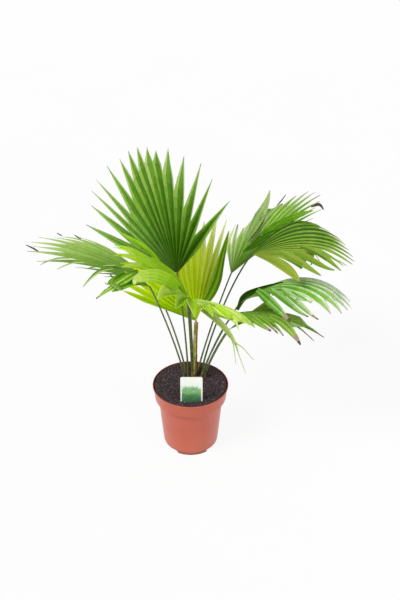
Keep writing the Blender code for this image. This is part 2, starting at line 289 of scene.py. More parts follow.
def peat(name, low, high, roughness=0.95):
    # screened peat and bark fines: very dark, matt, crumbly
    material, tree, shader = newMaterial(name, low, roughness, 1.4)
    spots = mottle(tree, shader, low, high, 420.0, 5.0)[1]
    bump = addNode(tree, "ShaderNodeBump", None,
                   {"Strength": 0.8, "Distance": 0.0012, "Height": (spots, "Fac")})
    tree.links.new(bump.outputs["Normal"], shader.inputs["Normal"])
    return material


def soilHeight(x, y):
    rough = noise.fractal(Vector((x, y, 0.3)) * 90, 0.8, 2.1, 4) * soil["rough"]
    return rough + noise.noise(Vector((x, y, 1.7)) * 24) * soil["waves"]


def makeSoil():
    level = soil["level"]
    top = pot["rimRadius"] - pot["lipDepth"] - pot["wall"] - 0.4 * mm
    collarFoot = pot["height"] - pot["collarHeight"]
    low = pot["recess"] + pot["floor"] + gap
    room = pot["wall"] + 2 * gap
    profile = [(top * i / soil["rings"], level) for i in range(soil["rings"] + 1)]
    profile += [
        (top - 1.2 * mm, level - 6 * mm),
        (pot["collarRadius"] - room, collarFoot + 2 * pot["wall"] + gap),
        (pot["shoulderRadius"] - room, collarFoot - pot["wall"]),
        (bodyRadius(low + 5 * mm) - room, low + 5 * mm),
        (bodyRadius(low) - room - 5 * mm, low),
        (0.0, low),
    ]
    bed = addObject("pottingSoil", turnedMesh("pottingSoil", profile, soil["steps"]))
    for vertex in bed.data.vertices:
        x, y, z = vertex.co
        if z > level - mm:                 # pressed down round the plant, up to the lip at the wall
            edge = min(math.hypot(x, y) / top, 1)
            heap = edge ** 3 * (1 - 0.25 * edge ** 12)
            vertex.co.z = level + soilHeight(x, y) * (1 - 0.6 * edge ** 8) + soil["edgeRise"] * heap
    smoothShade(bed.data)
    bed.data.materials.append(peat("screened peat", soil["dark"], soil["light"]))
    return bed


crumbs = {
    # radius, how many to a square metre, stretch along its own X, seed, material's two colours
    "peatCrumbs": (1.4 * mm, 70000, 1.2, 11, "#150F10", "#54464A"),
    "barkBits": (1.9 * mm, 9000, 2.4, 23, "#271C1E", "#66545A"),
    "paleSpecks": (0.85 * mm, 9000, 1.4, 37, "#6E6060", "#A4948F"),
}


def crumbTree():
    # a rough grain on every scattered point of the soil's top
    tree, given = newTree("crumbsOnSoil", (("Radius", "Float"), ("Density", "Float"), ("Stretch", "Float"),
                                           ("Seed", "Int"), ("Material", "Material")))
    place = addNode(tree, "GeometryNodeInputPosition")
    apart = addNode(tree, "ShaderNodeSeparateXYZ", None, {0: place})
    flat = addNode(tree, "ShaderNodeCombineXYZ", None, {"X": (apart, "X"), "Y": (apart, "Y")})
    out = addNode(tree, "ShaderNodeVectorMath", {"operation": "LENGTH"}, {0: flat})
    high = addNode(tree, "FunctionNodeCompare", {"operation": "GREATER_THAN"},
                   {"A": (apart, "Z"), "B": soil["level"] - 4 * mm})
    clear = addNode(tree, "FunctionNodeCompare", {"operation": "LESS_THAN"},
                    {"A": (out, "Value"), "B": pot["collarRadius"] - 1.5 * mm})   # off the wall
    onTop = addNode(tree, "FunctionNodeBooleanMath", {"operation": "AND"}, {0: high, 1: clear})
    points = addNode(tree, "GeometryNodeDistributePointsOnFaces", None,
                     {"Mesh": (given, "Geometry"), "Selection": onTop,
                      "Density": (given, "Density"), "Seed": (given, "Seed")})
    grain = addNode(tree, "GeometryNodeMeshIcoSphere", None,
                    {"Radius": (given, "Radius"), "Subdivisions": 2})
    lumps = addNode(tree, "ShaderNodeTexNoise", {"normalize": False},
                    {"Vector": place, "Scale": 700.0, "Detail": 1.0})
    push = addNode(tree, "ShaderNodeVectorMath", {"operation": "SCALE"},
                   {0: (lumps, "Color"), "Scale": 0.0011})
    rough = addNode(tree, "GeometryNodeSetPosition", None, {"Geometry": grain, "Offset": push})
    size = addNode(tree, "FunctionNodeRandomValue", {"data_type": "FLOAT"},
                   {2: 0.45, 3: 1.25, "Seed": (given, "Seed")})
    long = addNode(tree, "ShaderNodeMath", {"operation": "MULTIPLY"},
                   {0: (size, 1), 1: (given, "Stretch")})
    scale = addNode(tree, "ShaderNodeCombineXYZ", None, {"X": long, "Y": (size, 1), "Z": (size, 1)})
    turn = addNode(tree, "FunctionNodeRandomValue", {"data_type": "FLOAT_VECTOR"},
                   {0: (0.0, 0.0, 0.0), 1: (6.28, 6.28, 6.28), "Seed": (given, "Seed")})
    laid = addNode(tree, "GeometryNodeInstanceOnPoints", None,
                   {"Points": points, "Instance": rough, "Rotation": turn, "Scale": scale})
    whole = addNode(tree, "GeometryNodeRealizeInstances", None, {"Geometry": laid})
    skinned = addNode(tree, "GeometryNodeSetMaterial", None,
                      {"Geometry": whole, "Material": (given, "Material")})
    addNode(tree, "NodeGroupOutput", None, {"Geometry": skinned})
    return tree


def scatterCrumbs(bed):
    tree = crumbTree()
    for name, (radius, density, stretch, seed, low, high) in crumbs.items():
        copy = addObject(name, bed.data.copy())
        modifier = copy.modifiers.new("Crumbs", "NODES")
        modifier.node_group = tree
        setInputs(modifier, {"Radius": radius, "Density": float(density), "Stretch": stretch,
                             "Seed": seed, "Material": peat(name, low, high)})
        piece = plainMesh(copy, name)
        finishPiece(piece, "soil")


# the plant label is a card with a generic leaf picture and no words
label = {"width": 54 * mm, "height": 80 * mm, "thickness": 0.9 * mm, "corner": 4 * mm,
         "place": (3 * mm, -66 * mm), "print": 0.06 * mm, "inset": 3.6 * mm, "pictureFoot": 2 * mm,
         "pictureTop": 60 * mm, "groundTop": 36 * mm, "fanTop": 40 * mm, "fanDrop": 28 * mm, "fans": 34,
         "fanSizes": (13, 20), "fanOpening": 165, "blades": 11, "bladeWidth": 0.06, "seed": 5}
labelPrints = (("white label card", "#DDE2D8"), ("label ground print", "#3C704C"),
               ("label leaf print dark", "#39694A"), ("label leaf print mid", "#558F52"),
               ("label leaf print light", "#7FB070"))


def printedCard(name, colour, roughness=0.32):
    # offset print on white polystyrene card: smooth, under a thin gloss
    material, tree, shader = newMaterial(name, colour, roughness, 1.5)
    mottle(tree, shader, mixHex(colour, "#FFFFFF", 0.05), mixHex(colour, "#404040", 0.04), 60.0)
    shader.inputs["Coat Weight"].default_value = 0.2
    return material


def makeLabel():
    mesh = bmesh.new()
    front = label["place"][1] - label["thickness"] / 2
    foot = soil["level"] + gap

    def slab(outline, near, far, material):
        faces = []
        ends = []
        for depth in (near, far):
            ends.append([mesh.verts.new((label["place"][0] + x, depth, foot + z)) for x, z in outline])
        faces.append(mesh.faces.new(ends[0]))
        faces.append(mesh.faces.new(list(reversed(ends[1]))))
        for i in range(len(outline)):
            j = (i + 1) % len(outline)
            faces.append(mesh.faces.new((ends[0][j], ends[0][i], ends[1][i], ends[1][j])))
        for face in faces:
            face.material_index = material

    def roundedBox(left, right, low, high, corner):
        points = []
        for cx, cz, start in ((right - corner, low + corner, -90), (right - corner, high - corner, 0),
                              (left + corner, high - corner, 90), (left + corner, low + corner, 180)):
            for step in range(7):
                turn = math.radians(start + 15 * step)
                points.append((cx + corner * math.cos(turn), cz + corner * math.sin(turn)))
        return points

    half = label["width"] / 2
    slab(roundedBox(-half, half, 0.0, label["height"], label["corner"]),
         front, front + label["thickness"], 0)
    left, right = label["inset"] - half, half - label["inset"]
    low, high = label["pictureFoot"], label["pictureTop"]
    layer = front - label["print"]
    slab(roundedBox(left, right, low, label["groundTop"], 0.5 * mm), layer, front, 1)
    # the picture, a made-up clump: fans of leaflets, tall ones behind and darker ones below
    rng = random.Random(label["seed"])
    for order in range(label["fans"]):
        back = order / (label["fans"] - 1)           # 0 for the fans behind, 1 for those in front
        centre = Vector((rng.uniform(left + 3 * mm, right - 3 * mm),
                         label["fanTop"] - back * label["fanDrop"]))
        lean = rng.uniform(-35, 35) + centre.x / half * -30
        size = rng.uniform(*label["fanSizes"]) * mm * (1 - 0.35 * back)
        for blade in range(label["blades"]):
            off = (blade / (label["blades"] - 1) - 0.5) * label["fanOpening"]
            heading = math.radians(90 + lean + off)
            length = size * rng.uniform(0.8, 1.05)
            ahead = Vector((math.cos(heading), math.sin(heading)))
            side = Vector((-ahead.y, ahead.x))
            outline = []
            for along, across in ((0, 0.1), (0.4, 1), (1, 0), (0.4, -1), (0, -0.1)):
                spot = centre + ahead * (length * along) - side * (label["bladeWidth"] * length * across)
                outline.append((min(max(spot.x, left), right), min(max(spot.y, low), high)))
            depth = layer - 0.012 * mm * (1 + order) - 0.002 * mm * blade
            slab(outline, depth, front, 2 + (blade + order) % 2 + (0 if back > 0.6 else 1))
    bmesh.ops.recalc_face_normals(mesh, faces=mesh.faces)
    card = addObject("plantLabel", keepMesh("plantLabel", mesh))
    for name, colour in labelPrints:
        card.data.materials.append(printedCard(name, colour))
    finishPiece(card, "label", "label")


# Each leaf as in the part's source: foot, hub, the middle rib's and the upper face's heading and
# rise, opening, lift of the sides, sag, lop (more sag on one side), reach, the outer ribs' share and
# slant (longer on one side). Most values are a fit to leaf tips in the photograph, rounded, and some
# were then changed
leaves = {
    "upright": dict(foot=(-6, 38), hub=(-29, -12, 509), aim=(133, 65), face=(-129, -11), span=120,
                    lift=5, sag=0.05, lop=0, reach=303, side=1.02, slant=-0.04),
    "front": dict(foot=(5, 27), hub=(-4, -60, 471), aim=(-97, 32), face=(46, 48), span=190,
                  lift=20, sag=0.72, lop=0.3, reach=182, side=1.1, slant=-0.07),
    "young": dict(foot=None, hub=(14, 45, 336), aim=(150, 64), face=(-85, 19), span=86,
                  lift=5, sag=0.05, lop=0, reach=238, side=1.0, slant=-0.1),
    "far_left": dict(foot=(-13, 58), hub=(-103, 96, 432), aim=(184, 22), face=(-66, 72), span=60,
                     lift=4, sag=0.21, lop=-0.45, reach=290, side=0.63, slant=-0.09),
    "low_left": dict(foot=(-17, 40), hub=(-93, -20, 476), aim=(234, 47), face=(-63, 52), span=33,
                     lift=2, sag=1.08, lop=-0.67, reach=190, side=1.02, slant=-0.09),
    "upper_right": dict(foot=(20, 66), hub=(102, 160, 402), aim=(55, 25), face=(-155, 19), span=100,
                        lift=0, sag=0.25, lop=-0.26, reach=330, side=0.74, slant=0.02),
    "right": dict(foot=(29, 58), hub=(146, 30, 536), aim=(-20, 25), face=(-137, 48), span=88,
                  lift=6, sag=0.79, lop=1.2, reach=250, side=0.68, slant=0),
    "mid_right": dict(foot=(26, 29), hub=(117, 0, 415), aim=(-13, 43), face=(-223, 45), span=75,
                      lift=2, sag=1.5, lop=0.13, reach=302, side=0.76, slant=0),
    "low_right": dict(foot=(32, 45), hub=(108, 15, 380), aim=(-34, 19), face=(-28, 34), span=80,
                      lift=2, sag=0.64, lop=0.38, reach=212, side=1.02, slant=0),
    "folded": dict(foot=(34, 34), hub=(94, 8, 336), aim=(15, 29), face=(-90, 50), span=16,
                   lift=0, sag=0.2, lop=0, reach=130, side=0.95, slant=0),
}
fan = {"hubRadius": 3.6 * mm, "ribSteps": 24, "fusedRows": 16, "freeRows": 22,
       "columns": (-1, -0.66, -0.33, -0.08, 0, 0.08, 0.33, 0.66, 1),
       "pleat": 0.8,                   # the part's solids fold at 0.45; the real pleats are sharper
       "sharpFrom": 22, "thickness": 0.5 * mm, "leastHalfWidth": 0.45 * mm,
       "greenSteps": 11,               # plain colours from a leaf's darkest to its palest
       "dry": (("dry leaf end", "#A08A80"), ("dead leaf point", "#54443E"))}
paintedPleatLight = (1.4, 1, 0.7, 1.3, 1, -1, -0.8, 0.5)      # painted light and shade on each strip of a leaflet, for its pleats' lit and shaded sides

# Looks of each leaf. ribs: where the leaflets' midribs lie across the fan, from -1 to 1, and
# shares: how far each reaches, most of them found by matching rib ends with tips in the photograph.
# roots: where a leaflet leaves the joined blade, where that isn't in line with its tip. cuts: how
# much of the blade is joined, as (place across, share of the reach). wide: the first leaflet's own
# swell. swell, left and right, and taper: the free parts' outline. greens: dark to light, dealt out
# from base by along, across and paintedPleatShade, which is painted light and shade on the pleats'
# two sides; along also paints shade, darker near the hub. limp, stray: how the free ends droop and
# wander. dry: how much of them is dry
leafLooks = {
    "upright": dict(
        slot="leaf_mid_green", under="#8DB46A",
        greens=("#2A5000", "#376404", "#4E7C12", "#6E9A2E", "#94B262", "#B8CA9C"),
        ribs=(-0.98, -0.8, -0.68, -0.52, -0.36, -0.22, -0.12, 0, 0.1, 0.22, 0.38, 0.56, 0.68, 0.8, 1),
        shares=(0.99, 1, 1.04, 1, 1.01, 0.97, 0.99, 1, 1, 0.98, 1.01, 1.02, 1.02, 0.99, 1.02),
        swell=(0.0, 0.3), taper=0.95, along=0.8, across=0.06, base=0.0,
        dry=0.06, limp=0.03, stray=0.03, paintedPleatShade=0.2,
        cuts=((-1, 0.42), (-0.5, 0.66), (-0.2, 0.88), (-0.05, 0.87), (0.15, 0.78), (0.35, 0.62),
              (1, 0.46))),
    "front": dict(
        slot="leaf_lime", under="#CFEF50",
        greens=("#5F9600", "#7AB004", "#92C410", "#A9C940", "#BDD36C", "#D8E6A2"),
        ribs=(-0.92, -0.78, -0.62, -0.48, -0.34, -0.18, -0.04, 0.12, 0.28, 0.44, 0.58, 0.72, 0.84, 0.94,
              1.04),
        shares=(0.9, 1.05, 1.07, 1.06, 1.0, 0.94, 0.82, 0.88, 0.8, 0.82, 0.84, 0.86, 0.9, 0.93, 0.95),
        swell=(0.3, 0.0), taper=0.9, along=0.22, across=0.3, base=0.3,
        dry=0.03, limp=0.5, stray=0.1, paintedPleatShade=0.15,
        cuts=((-1, 0.62), (-0.55, 0.72), (-0.44, 0.76), (-0.3, 0.72), (-0.12, 0.62), (0, 0.55), (0.2, 0.45),
              (0.35, 0.55), (0.5, 0.75), (0.8, 0.86), (1, 0.86))),
    "young": dict(
        slot="leaf_lime", under="#C3D66A",
        greens=("#6A9600", "#8CB400", "#A8CA00", "#C4DA10", "#E0EC58", "#F6FABC"),
        ribs=(-1, -0.88, -0.76, -0.62, -0.48, -0.34, -0.2, -0.06, 0.08, 0.24, 0.4, 0.54, 0.68, 0.82, 0.95),
        shares=(1, 1.03, 1.08, 1, 0.97, 1, 0.99, 1.01, 1, 0.98, 1, 1.03, 1, 1.1, 0.93),
        swell=(0.1, 0.4), taper=0.85, along=0.55, across=-0.2, base=0.2,
        dry=0.03, limp=0.05, stray=0.04, paintedPleatShade=0.12,
        cuts=((-1, 0.6), (-0.7, 0.72), (-0.5, 0.78), (0, 0.75), (1, 0.65))),
    "far_left": dict(
        slot="leaf_pale", under="#A6C48C",
        greens=("#4E7F26", "#648F32", "#7AA040", "#90B056", "#A6C072", "#BCCE94"),
        ribs=(-0.86, -0.74, -0.58, -0.44, -0.28, -0.14, 0.02, 0.22, 0.42, 0.56, 0.72, 0.95),
        shares=(0.87, 0.98, 0.94, 1.03, 1.03, 0.99, 1.04, 0.99, 0.72, 0.6, 0.55, 0.5),
        swell=(-0.2, -0.3), taper=0.8, along=0.65, across=-0.04, base=0.1,
        dry=0.16, limp=0.9, stray=0.12, paintedPleatShade=0.06,
        cuts=((-1, 0.5), (-0.7, 0.66), (-0.5, 0.7), (-0.26, 0.76), (0.06, 0.7), (0.16, 0.56), (0.3, 0.4),
              (1, 0.25))),
    "low_left": dict(
        slot="leaf_dark", under="#86A962",
        greens=("#3C6E0A", "#528810", "#6A9E20", "#84B034", "#9FC052", "#B8D070"),
        ribs=(-0.8, -0.5, -0.2, 0.1, 0.4, 0.75), shares=(0.8, 0.8, 0.78, 0.78, 0.76, 0.74),
        swell=(1.2, 0.3), taper=0.7, along=0.3, across=0.3, base=0.2,
        dry=0, limp=0.05, stray=0.05, paintedPleatShade=0.14,
        cuts=((-1, 0.8), (1, 0.88)),
        roots=(-0.45, -0.25, -0.05, 0.2, 0.45, 0.75)),
    "upper_right": dict(
        slot="leaf_pale", under="#A3C684",
        greens=("#457806", "#5C9010", "#7AA440", "#97B566", "#ADC488", "#C6D4A6"),
        ribs=(-0.88, -0.78, -0.68, -0.58, -0.48, -0.36, -0.24, -0.12, 0.02, 0.14, 0.38, 0.62, 0.78, 0.9),
        shares=(0.97, 1.02, 0.94, 0.98, 1.01, 1.0, 0.98, 0.9, 0.8, 0.76, 0.86, 0.72, 0.95, 0.95),
        swell=(-0.3, 0.5), taper=0.75, along=0.4, across=0.3, base=0.2,
        dry=0.2, limp=0.35, stray=0.5, paintedPleatShade=0.24,
        cuts=((-1, 0.6), (-0.7, 0.7), (-0.5, 0.68), (-0.4, 0.64), (-0.3, 0.7), (0, 0.66), (0.25, 0.76),
              (0.5, 0.62),
              (0.7, 0.55), (1, 0.5))),
    "right": dict(
        slot="leaf_olive", under="#A0B57A",
        # its two darkest greens are painted shade from the leaf above
        greens=("#1F4303", "#2F5607", "#628C24", "#8AA240", "#8E9F3C", "#8C9C2C"),
        ribs=(-0.88, -0.66, -0.48, -0.36, -0.24, -0.12, 0, 0.12, 0.26, 0.4, 0.54, 0.68, 0.82),
        shares=(0.89, 0.7, 0.72, 0.76, 0.95, 1, 1, 0.99, 0.98, 1.0, 1.05, 0.98, 0.98),
        swell=(0.5, 0.2), taper=0.75, along=0.16, across=-0.42, base=0.46,
        dry=0, limp=0.1, stray=0.06, paintedPleatShade=0.18,
        cuts=((-0.48, 0.28), (-0.25, 0.6), (-0.16, 0.64), (-0.08, 0.6), (0.1, 0.75), (0.4, 0.8),
              (0.6, 0.66), (1, 0.55)),
        roots=(-0.66, -0.3, -0.2, -0.12, -0.04, 0.04, 0.12, 0.2, 0.3, 0.42, 0.55, 0.68, 0.82),
        wide=2.4),
    "mid_right": dict(
        slot="leaf_mid_green", under="#8DAF78",
        # its palest greens are a painted whitish sheen
        greens=("#2C6008", "#447C14", "#62982C", "#8CB268", "#B8CCA6", "#DEE6D6"),
        ribs=(-0.92, -0.74, -0.6, -0.43, -0.27, -0.12, 0.04, 0.22, 0.4, 0.6, 0.85),
        shares=(0.6, 0.64, 0.72, 0.98, 1.0, 1.0, 1.02, 1.0, 1.06, 0.84, 0.7),
        swell=(0.3, 0.1), taper=0.72, along=0.85, across=0.14, base=0.11,
        dry=0.06, limp=0.2, stray=0.04, paintedPleatShade=0.24,
        cuts=((-1, 0.55), (-0.83, 0.6), (-0.67, 0.76), (-0.5, 0.85), (-0.1, 0.83), (0.15, 0.7),
              (0.35, 0.6), (0.7, 0.5), (1, 0.42))),
    "low_right": dict(
        slot="leaf_mid_green", under="#86AA66",
        greens=("#3E7016", "#54861C", "#6E9A2E", "#88A844", "#9EB860", "#B2C67C"),
        ribs=(-0.86, -0.72, -0.62, -0.46, 0.25, 0.8), shares=(0.66, 0.7, 0.74, 0.84, 0.86, 0.84),
        swell=(0.2, -0.4), taper=0.8, along=0.4, across=0, base=0.2,
        dry=0, limp=0.1, stray=0.05, paintedPleatShade=0.13,
        cuts=((-1, 0.6), (-0.56, 0.62), (-0.42, 0.7), (0, 0.75), (0.4, 0.78), (1, 0.7)),
        roots=(-0.8, -0.62, -0.5, -0.22, 0.12, 0.55)),
    "folded": dict(
        slot="leaf_dark", under="#7E9450",
        greens=("#4A6A14", "#58791A", "#668722", "#749230", "#869E44", "#9CAA60"),
        ribs=(-0.3, 0.3), shares=(0.98, 0.98),
        swell=(0.6, 0.6), taper=0.6, along=0.3, across=0.2, base=0.2,
        dry=0.03, limp=0.02, stray=0.0, paintedPleatShade=0.05,
        cuts=((-1, 0.9), (1, 0.9)),
        roots=(-0.5, 0.5)),
}

def headingVector(heading, rise):
    turn, tilt = math.radians(heading), math.radians(rise)
    return Vector((math.cos(tilt) * math.cos(turn), math.cos(tilt) * math.sin(turn), math.sin(tilt)))


def bladeAxes(leaf):
    along = headingVector(*leaf["aim"])
    up = headingVector(*leaf["face"])
    up = (up - along * up.dot(along)).normalized()
    return along, up.cross(along), up


def ribReach(leaf, across):
    share = 1 - (1 - leaf["side"]) * across * across + leaf["slant"] * across
    return leaf["reach"] * mm * share


def joinedLength(leaf, look, across):
    share = look["cuts"][0][1]
    for (start, first), (end, second) in zip(look["cuts"], look["cuts"][1:]):
        if across > start:
            share = first + (second - first) * min((across - start) / (end - start), 1)
    return ribReach(leaf, across) * share


def leafBlank(key, leaf, look):
    # the flat cut fan: every vertex knows its place across the fan and its distance from the hub,
    # and the fan tree bends it into place
    rng = random.Random(sum(map(ord, key)))
    hubRadius, fusedRows, freeRows = fan["hubRadius"], fan["fusedRows"], fan["freeRows"]
    columns, greenSteps, fanPleat = fan["columns"], fan["greenSteps"], fan["pleat"]
    ribs = look["ribs"]
    halfSpan = math.radians(leaf["span"] / 2)
    roots = look.get("roots", ribs)
    borders = [(a + b) / 2 for a, b in zip(roots, roots[1:])]
    borders = [2 * roots[0] - borders[0], *borders, 2 * roots[-1] - borders[-1]]
    rows = {name: [] for name in ("across", "length", "split", "fold", "limp", "stray")}
    places, faces, tones, uvs = [], [], [], []

    def addVertex(across, length, split, fold, limp=0.0, stray=0.0, uv=(0.0, 0.0)):
        turn = halfSpan * across
        places.append((length * math.sin(turn), length * math.cos(turn), 0.0))
        for name, value in (("across", across), ("length", length), ("split", split),
                            ("fold", fold), ("limp", limp), ("stray", stray)):
            rows[name].append(value)
        uvs.append(uv)
        return len(places) - 1

    def halfWidth(across, other, length):
        return length * math.tan(abs(other - across) * halfSpan)

    ridges = []
    for k, across in enumerate(borders):
        joined = joinedLength(leaf, look, across)
        beside = roots[max(k - 1, 0):k + 1]
        line = []
        for row in range(fusedRows + 1):
            length = hubRadius + (joined - hubRadius) * row / fusedRows
            width = sum(halfWidth(across, rib, length) for rib in beside) / len(beside)
            line.append(addVertex(across, length, joined, fanPleat * width / 2, uv=(0.0, length)))
        ridges.append(line)

    for i, (middle, tipAcross) in enumerate(zip(roots, ribs)):
        cuts = [joinedLength(leaf, look, borders[j]) for j in (i, i + 1)]
        split = sum(cuts) / 2
        reach = ribReach(leaf, tipAcross) * look["shares"][i]
        limp = look["limp"] * rng.uniform(-0.2, 1.0)
        stray = look["stray"] * rng.uniform(-1, 1)
        twist = rng.uniform(-0.25, 0.25)
        shade = rng.uniform(-0.07, 0.07)
        dry = look["dry"] * rng.uniform(0.3, 1.3)
        grid = []
        for row in range(fusedRows + freeRows + 1):
            line = []
            for v in columns:
                cut = split + (cuts[1] - split) * v if v > 0 else split + (split - cuts[0]) * v
                border = borders[i + (v > 0)]
                spread = (border - middle) * abs(v)
                if row <= fusedRows:
                    if abs(v) == 1:
                        line.append(ridges[i + (v > 0)][row])
                        continue
                    length = hubRadius + (cut - hubRadius) * row / fusedRows
                    width = halfWidth(middle, borders[i + 1], length) + halfWidth(middle, borders[i], length)
                    fold = fanPleat * width / 2 * (abs(v) - 0.5)
                    line.append(addVertex(middle + spread, length, cut, fold, uv=(v, length)))
                    continue
                share = (row - fusedRows) / freeRows
                tip = reach * (1 - 0.03 * (1 - abs(v)) * share ** 8)
                length = cut + (tip - cut) * share
                swell = look["swell"][0] + (look["swell"][1] - look["swell"][0]) * (middle + 1) / 2
                if "wide" in look and not i:
                    swell = look["wide"]
                full = (1 + swell * share) * (1 - share) ** look["taper"]
                fullest = halfWidth(middle, border, cut)
                width = max(fullest * full, fan["leastHalfWidth"])
                fold = fanPleat * width * (abs(v) - 0.5) * (1 - 0.4 * share) + twist * v * width * share
                across = middle + (tipAcross - middle) * share + spread * width * cut / (fullest * length)
                bend = cut + (split - cut) * min(2 * share, 1)       # both edges hang as one
                line.append(addVertex(across, length, bend, fold, limp, stray, (v, length)))
            grid.append(line)
        for row in range(len(grid) - 1):
            share = (row + 0.5 - fusedRows) / freeRows
            far = rows["length"][grid[row][4]] / (leaf["reach"] * mm)
            for j in range(len(columns) - 1):
                faces.append((grid[row][j], grid[row + 1][j], grid[row + 1][j + 1], grid[row][j + 1]))
                level = look["base"] + look["along"] * far + look["across"] * middle + shade
                # painted light and shade by the strip's side of its pleat
                level += look["paintedPleatShade"] * paintedPleatLight[j]
                tone = min(max(int(level * greenSteps + rng.uniform(-0.3, 0.3)), 0), greenSteps - 1)
                ragged = dry * (1 + 0.25 * math.sin(7 * j + i))
                if share > 1 - ragged:
                    tone = greenSteps + (share > 1 - 0.4 * ragged)
                tones.append(tone)

    mesh = bpy.data.meshes.new(f"blank_{key}")
    mesh.from_pydata(places, [], faces)
    for name, values in rows.items():
        mesh.attributes.new(name, "FLOAT", "POINT").data.foreach_set("value", values)
    mesh.attributes.new("tone", "INT", "FACE").data.foreach_set("value", tones)
    layer = mesh.uv_layers.new(name="blade")
    for loop in mesh.loops:
        layer.data[loop.index].uv = uvs[loop.vertex_index]
    return mesh


def fanTree():
    # bends a flat cut fan: each vertex walks out from the hub along its own rib, pulled down by
    # weight, and the pleats are then raised out of the smooth sheet
    ribSteps, tones = fan["ribSteps"], fan["greenSteps"] + len(fan["dry"])
    tree, given = newTree("bendFan", [("Hub", "Vector"), ("Along", "Vector"), ("Left", "Vector"),
                                      ("Up", "Vector"), ("Half Span", "Float"), ("Lift", "Float"),
                                      ("Sag", "Float"), ("Lop", "Float"), ("Reach", "Float")]
                          + [(f"Tone {i}", "Material") for i in range(tones)])
    known = {name: addNode(tree, "GeometryNodeInputNamedAttribute", {"data_type": "FLOAT"}, {"Name": name})
             for name in ("across", "length", "split", "fold", "limp", "stray")}

    turn = addNode(tree, "ShaderNodeMath", {"operation": "MULTIPLY"},
                   {0: known["across"], 1: (given, "Half Span")})
    sine = addNode(tree, "ShaderNodeMath", {"operation": "SINE"}, {0: turn})
    cosine = addNode(tree, "ShaderNodeMath", {"operation": "COSINE"}, {0: turn})
    aside = addNode(tree, "ShaderNodeMath", {"operation": "ABSOLUTE"}, {0: sine})
    lift = addNode(tree, "ShaderNodeMath", {"operation": "MULTIPLY"}, {0: aside, 1: (given, "Lift")})
    liftSine = addNode(tree, "ShaderNodeMath", {"operation": "SINE"}, {0: lift})
    liftCosine = addNode(tree, "ShaderNodeMath", {"operation": "COSINE"}, {0: lift})
    ahead = addNode(tree, "ShaderNodeVectorMath", {"operation": "SCALE"},
                    {0: (given, "Along"), "Scale": cosine})
    sideways = addNode(tree, "ShaderNodeVectorMath", {"operation": "SCALE"},
                       {0: (given, "Left"), "Scale": sine})
    flat = addNode(tree, "ShaderNodeVectorMath", {"operation": "ADD"}, {0: ahead, 1: sideways})
    level = addNode(tree, "ShaderNodeVectorMath", {"operation": "SCALE"}, {0: flat, "Scale": liftCosine})
    raised = addNode(tree, "ShaderNodeVectorMath", {"operation": "SCALE"},
                     {0: (given, "Up"), "Scale": liftSine})
    setOut = addNode(tree, "ShaderNodeVectorMath", {"operation": "ADD"}, {0: level, 1: raised})
    lopped = addNode(tree, "ShaderNodeMath", {"operation": "MULTIPLY_ADD"},
                     {0: known["across"], 1: (given, "Lop"), 2: (given, "Sag")})
    sag = addNode(tree, "ShaderNodeMath", {"operation": "MAXIMUM"}, {0: lopped, 1: 0.0})
    step = addNode(tree, "ShaderNodeMath", {"operation": "DIVIDE"},
                   {0: known["length"], 1: float(ribSteps)})

    atHub = addNode(tree, "GeometryNodeSetPosition", None,
                    {"Geometry": (given, "Geometry"), "Position": (given, "Hub")})
    walk = addNode(tree, "GeometryNodeRepeatInput", None, {"Iterations": ribSteps})
    arrive = addNode(tree, "GeometryNodeRepeatOutput")
    walk.pair_with_output(arrive)
    tree.links.new(atHub.outputs[0], walk.inputs["Geometry"])
    paces = addNode(tree, "ShaderNodeMath", {"operation": "ADD"}, {0: (walk, "Iteration"), 1: 0.5})
    gone = addNode(tree, "ShaderNodeMath", {"operation": "MULTIPLY"}, {0: paces, 1: step})
    share = addNode(tree, "ShaderNodeMath", {"operation": "DIVIDE"}, {0: gone, 1: (given, "Reach")})
    past = addNode(tree, "ShaderNodeMath", {"operation": "SUBTRACT"}, {0: gone, 1: known["split"]})
    free = addNode(tree, "ShaderNodeMath", {"operation": "MAXIMUM"}, {0: past, 1: 0.0})
    late = addNode(tree, "ShaderNodeMath", {"operation": "DIVIDE"}, {0: free, 1: (given, "Reach")})
    growing = addNode(tree, "ShaderNodeMath", {"operation": "POWER"}, {0: share, 1: 1.5})
    hanging = addNode(tree, "ShaderNodeMath", {"operation": "MULTIPLY"}, {0: sag, 1: growing})
    weight = addNode(tree, "ShaderNodeMath", {"operation": "MULTIPLY_ADD"},
                     {0: known["limp"], 1: late, 2: hanging})
    pull = addNode(tree, "ShaderNodeMath", {"operation": "MULTIPLY"}, {0: weight, 1: -1.0})
    down = addNode(tree, "ShaderNodeCombineXYZ", None, {"Z": pull})
    drift = addNode(tree, "ShaderNodeMath", {"operation": "MULTIPLY"}, {0: known["stray"], 1: late})
    wander = addNode(tree, "ShaderNodeVectorMath", {"operation": "SCALE"},
                     {0: (given, "Left"), "Scale": drift})
    pulled = addNode(tree, "ShaderNodeVectorMath", {"operation": "ADD"}, {0: setOut, 1: down})
    pulled = addNode(tree, "ShaderNodeVectorMath", {"operation": "ADD"}, {0: pulled, 1: wander})
    unit = addNode(tree, "ShaderNodeVectorMath", {"operation": "NORMALIZE"}, {0: pulled})
    pace = addNode(tree, "ShaderNodeVectorMath", {"operation": "SCALE"}, {0: unit, "Scale": step})
    moved = addNode(tree, "GeometryNodeSetPosition", None,
                    {"Geometry": (walk, "Geometry"), "Offset": pace})
    tree.links.new(moved.outputs[0], arrive.inputs["Geometry"])

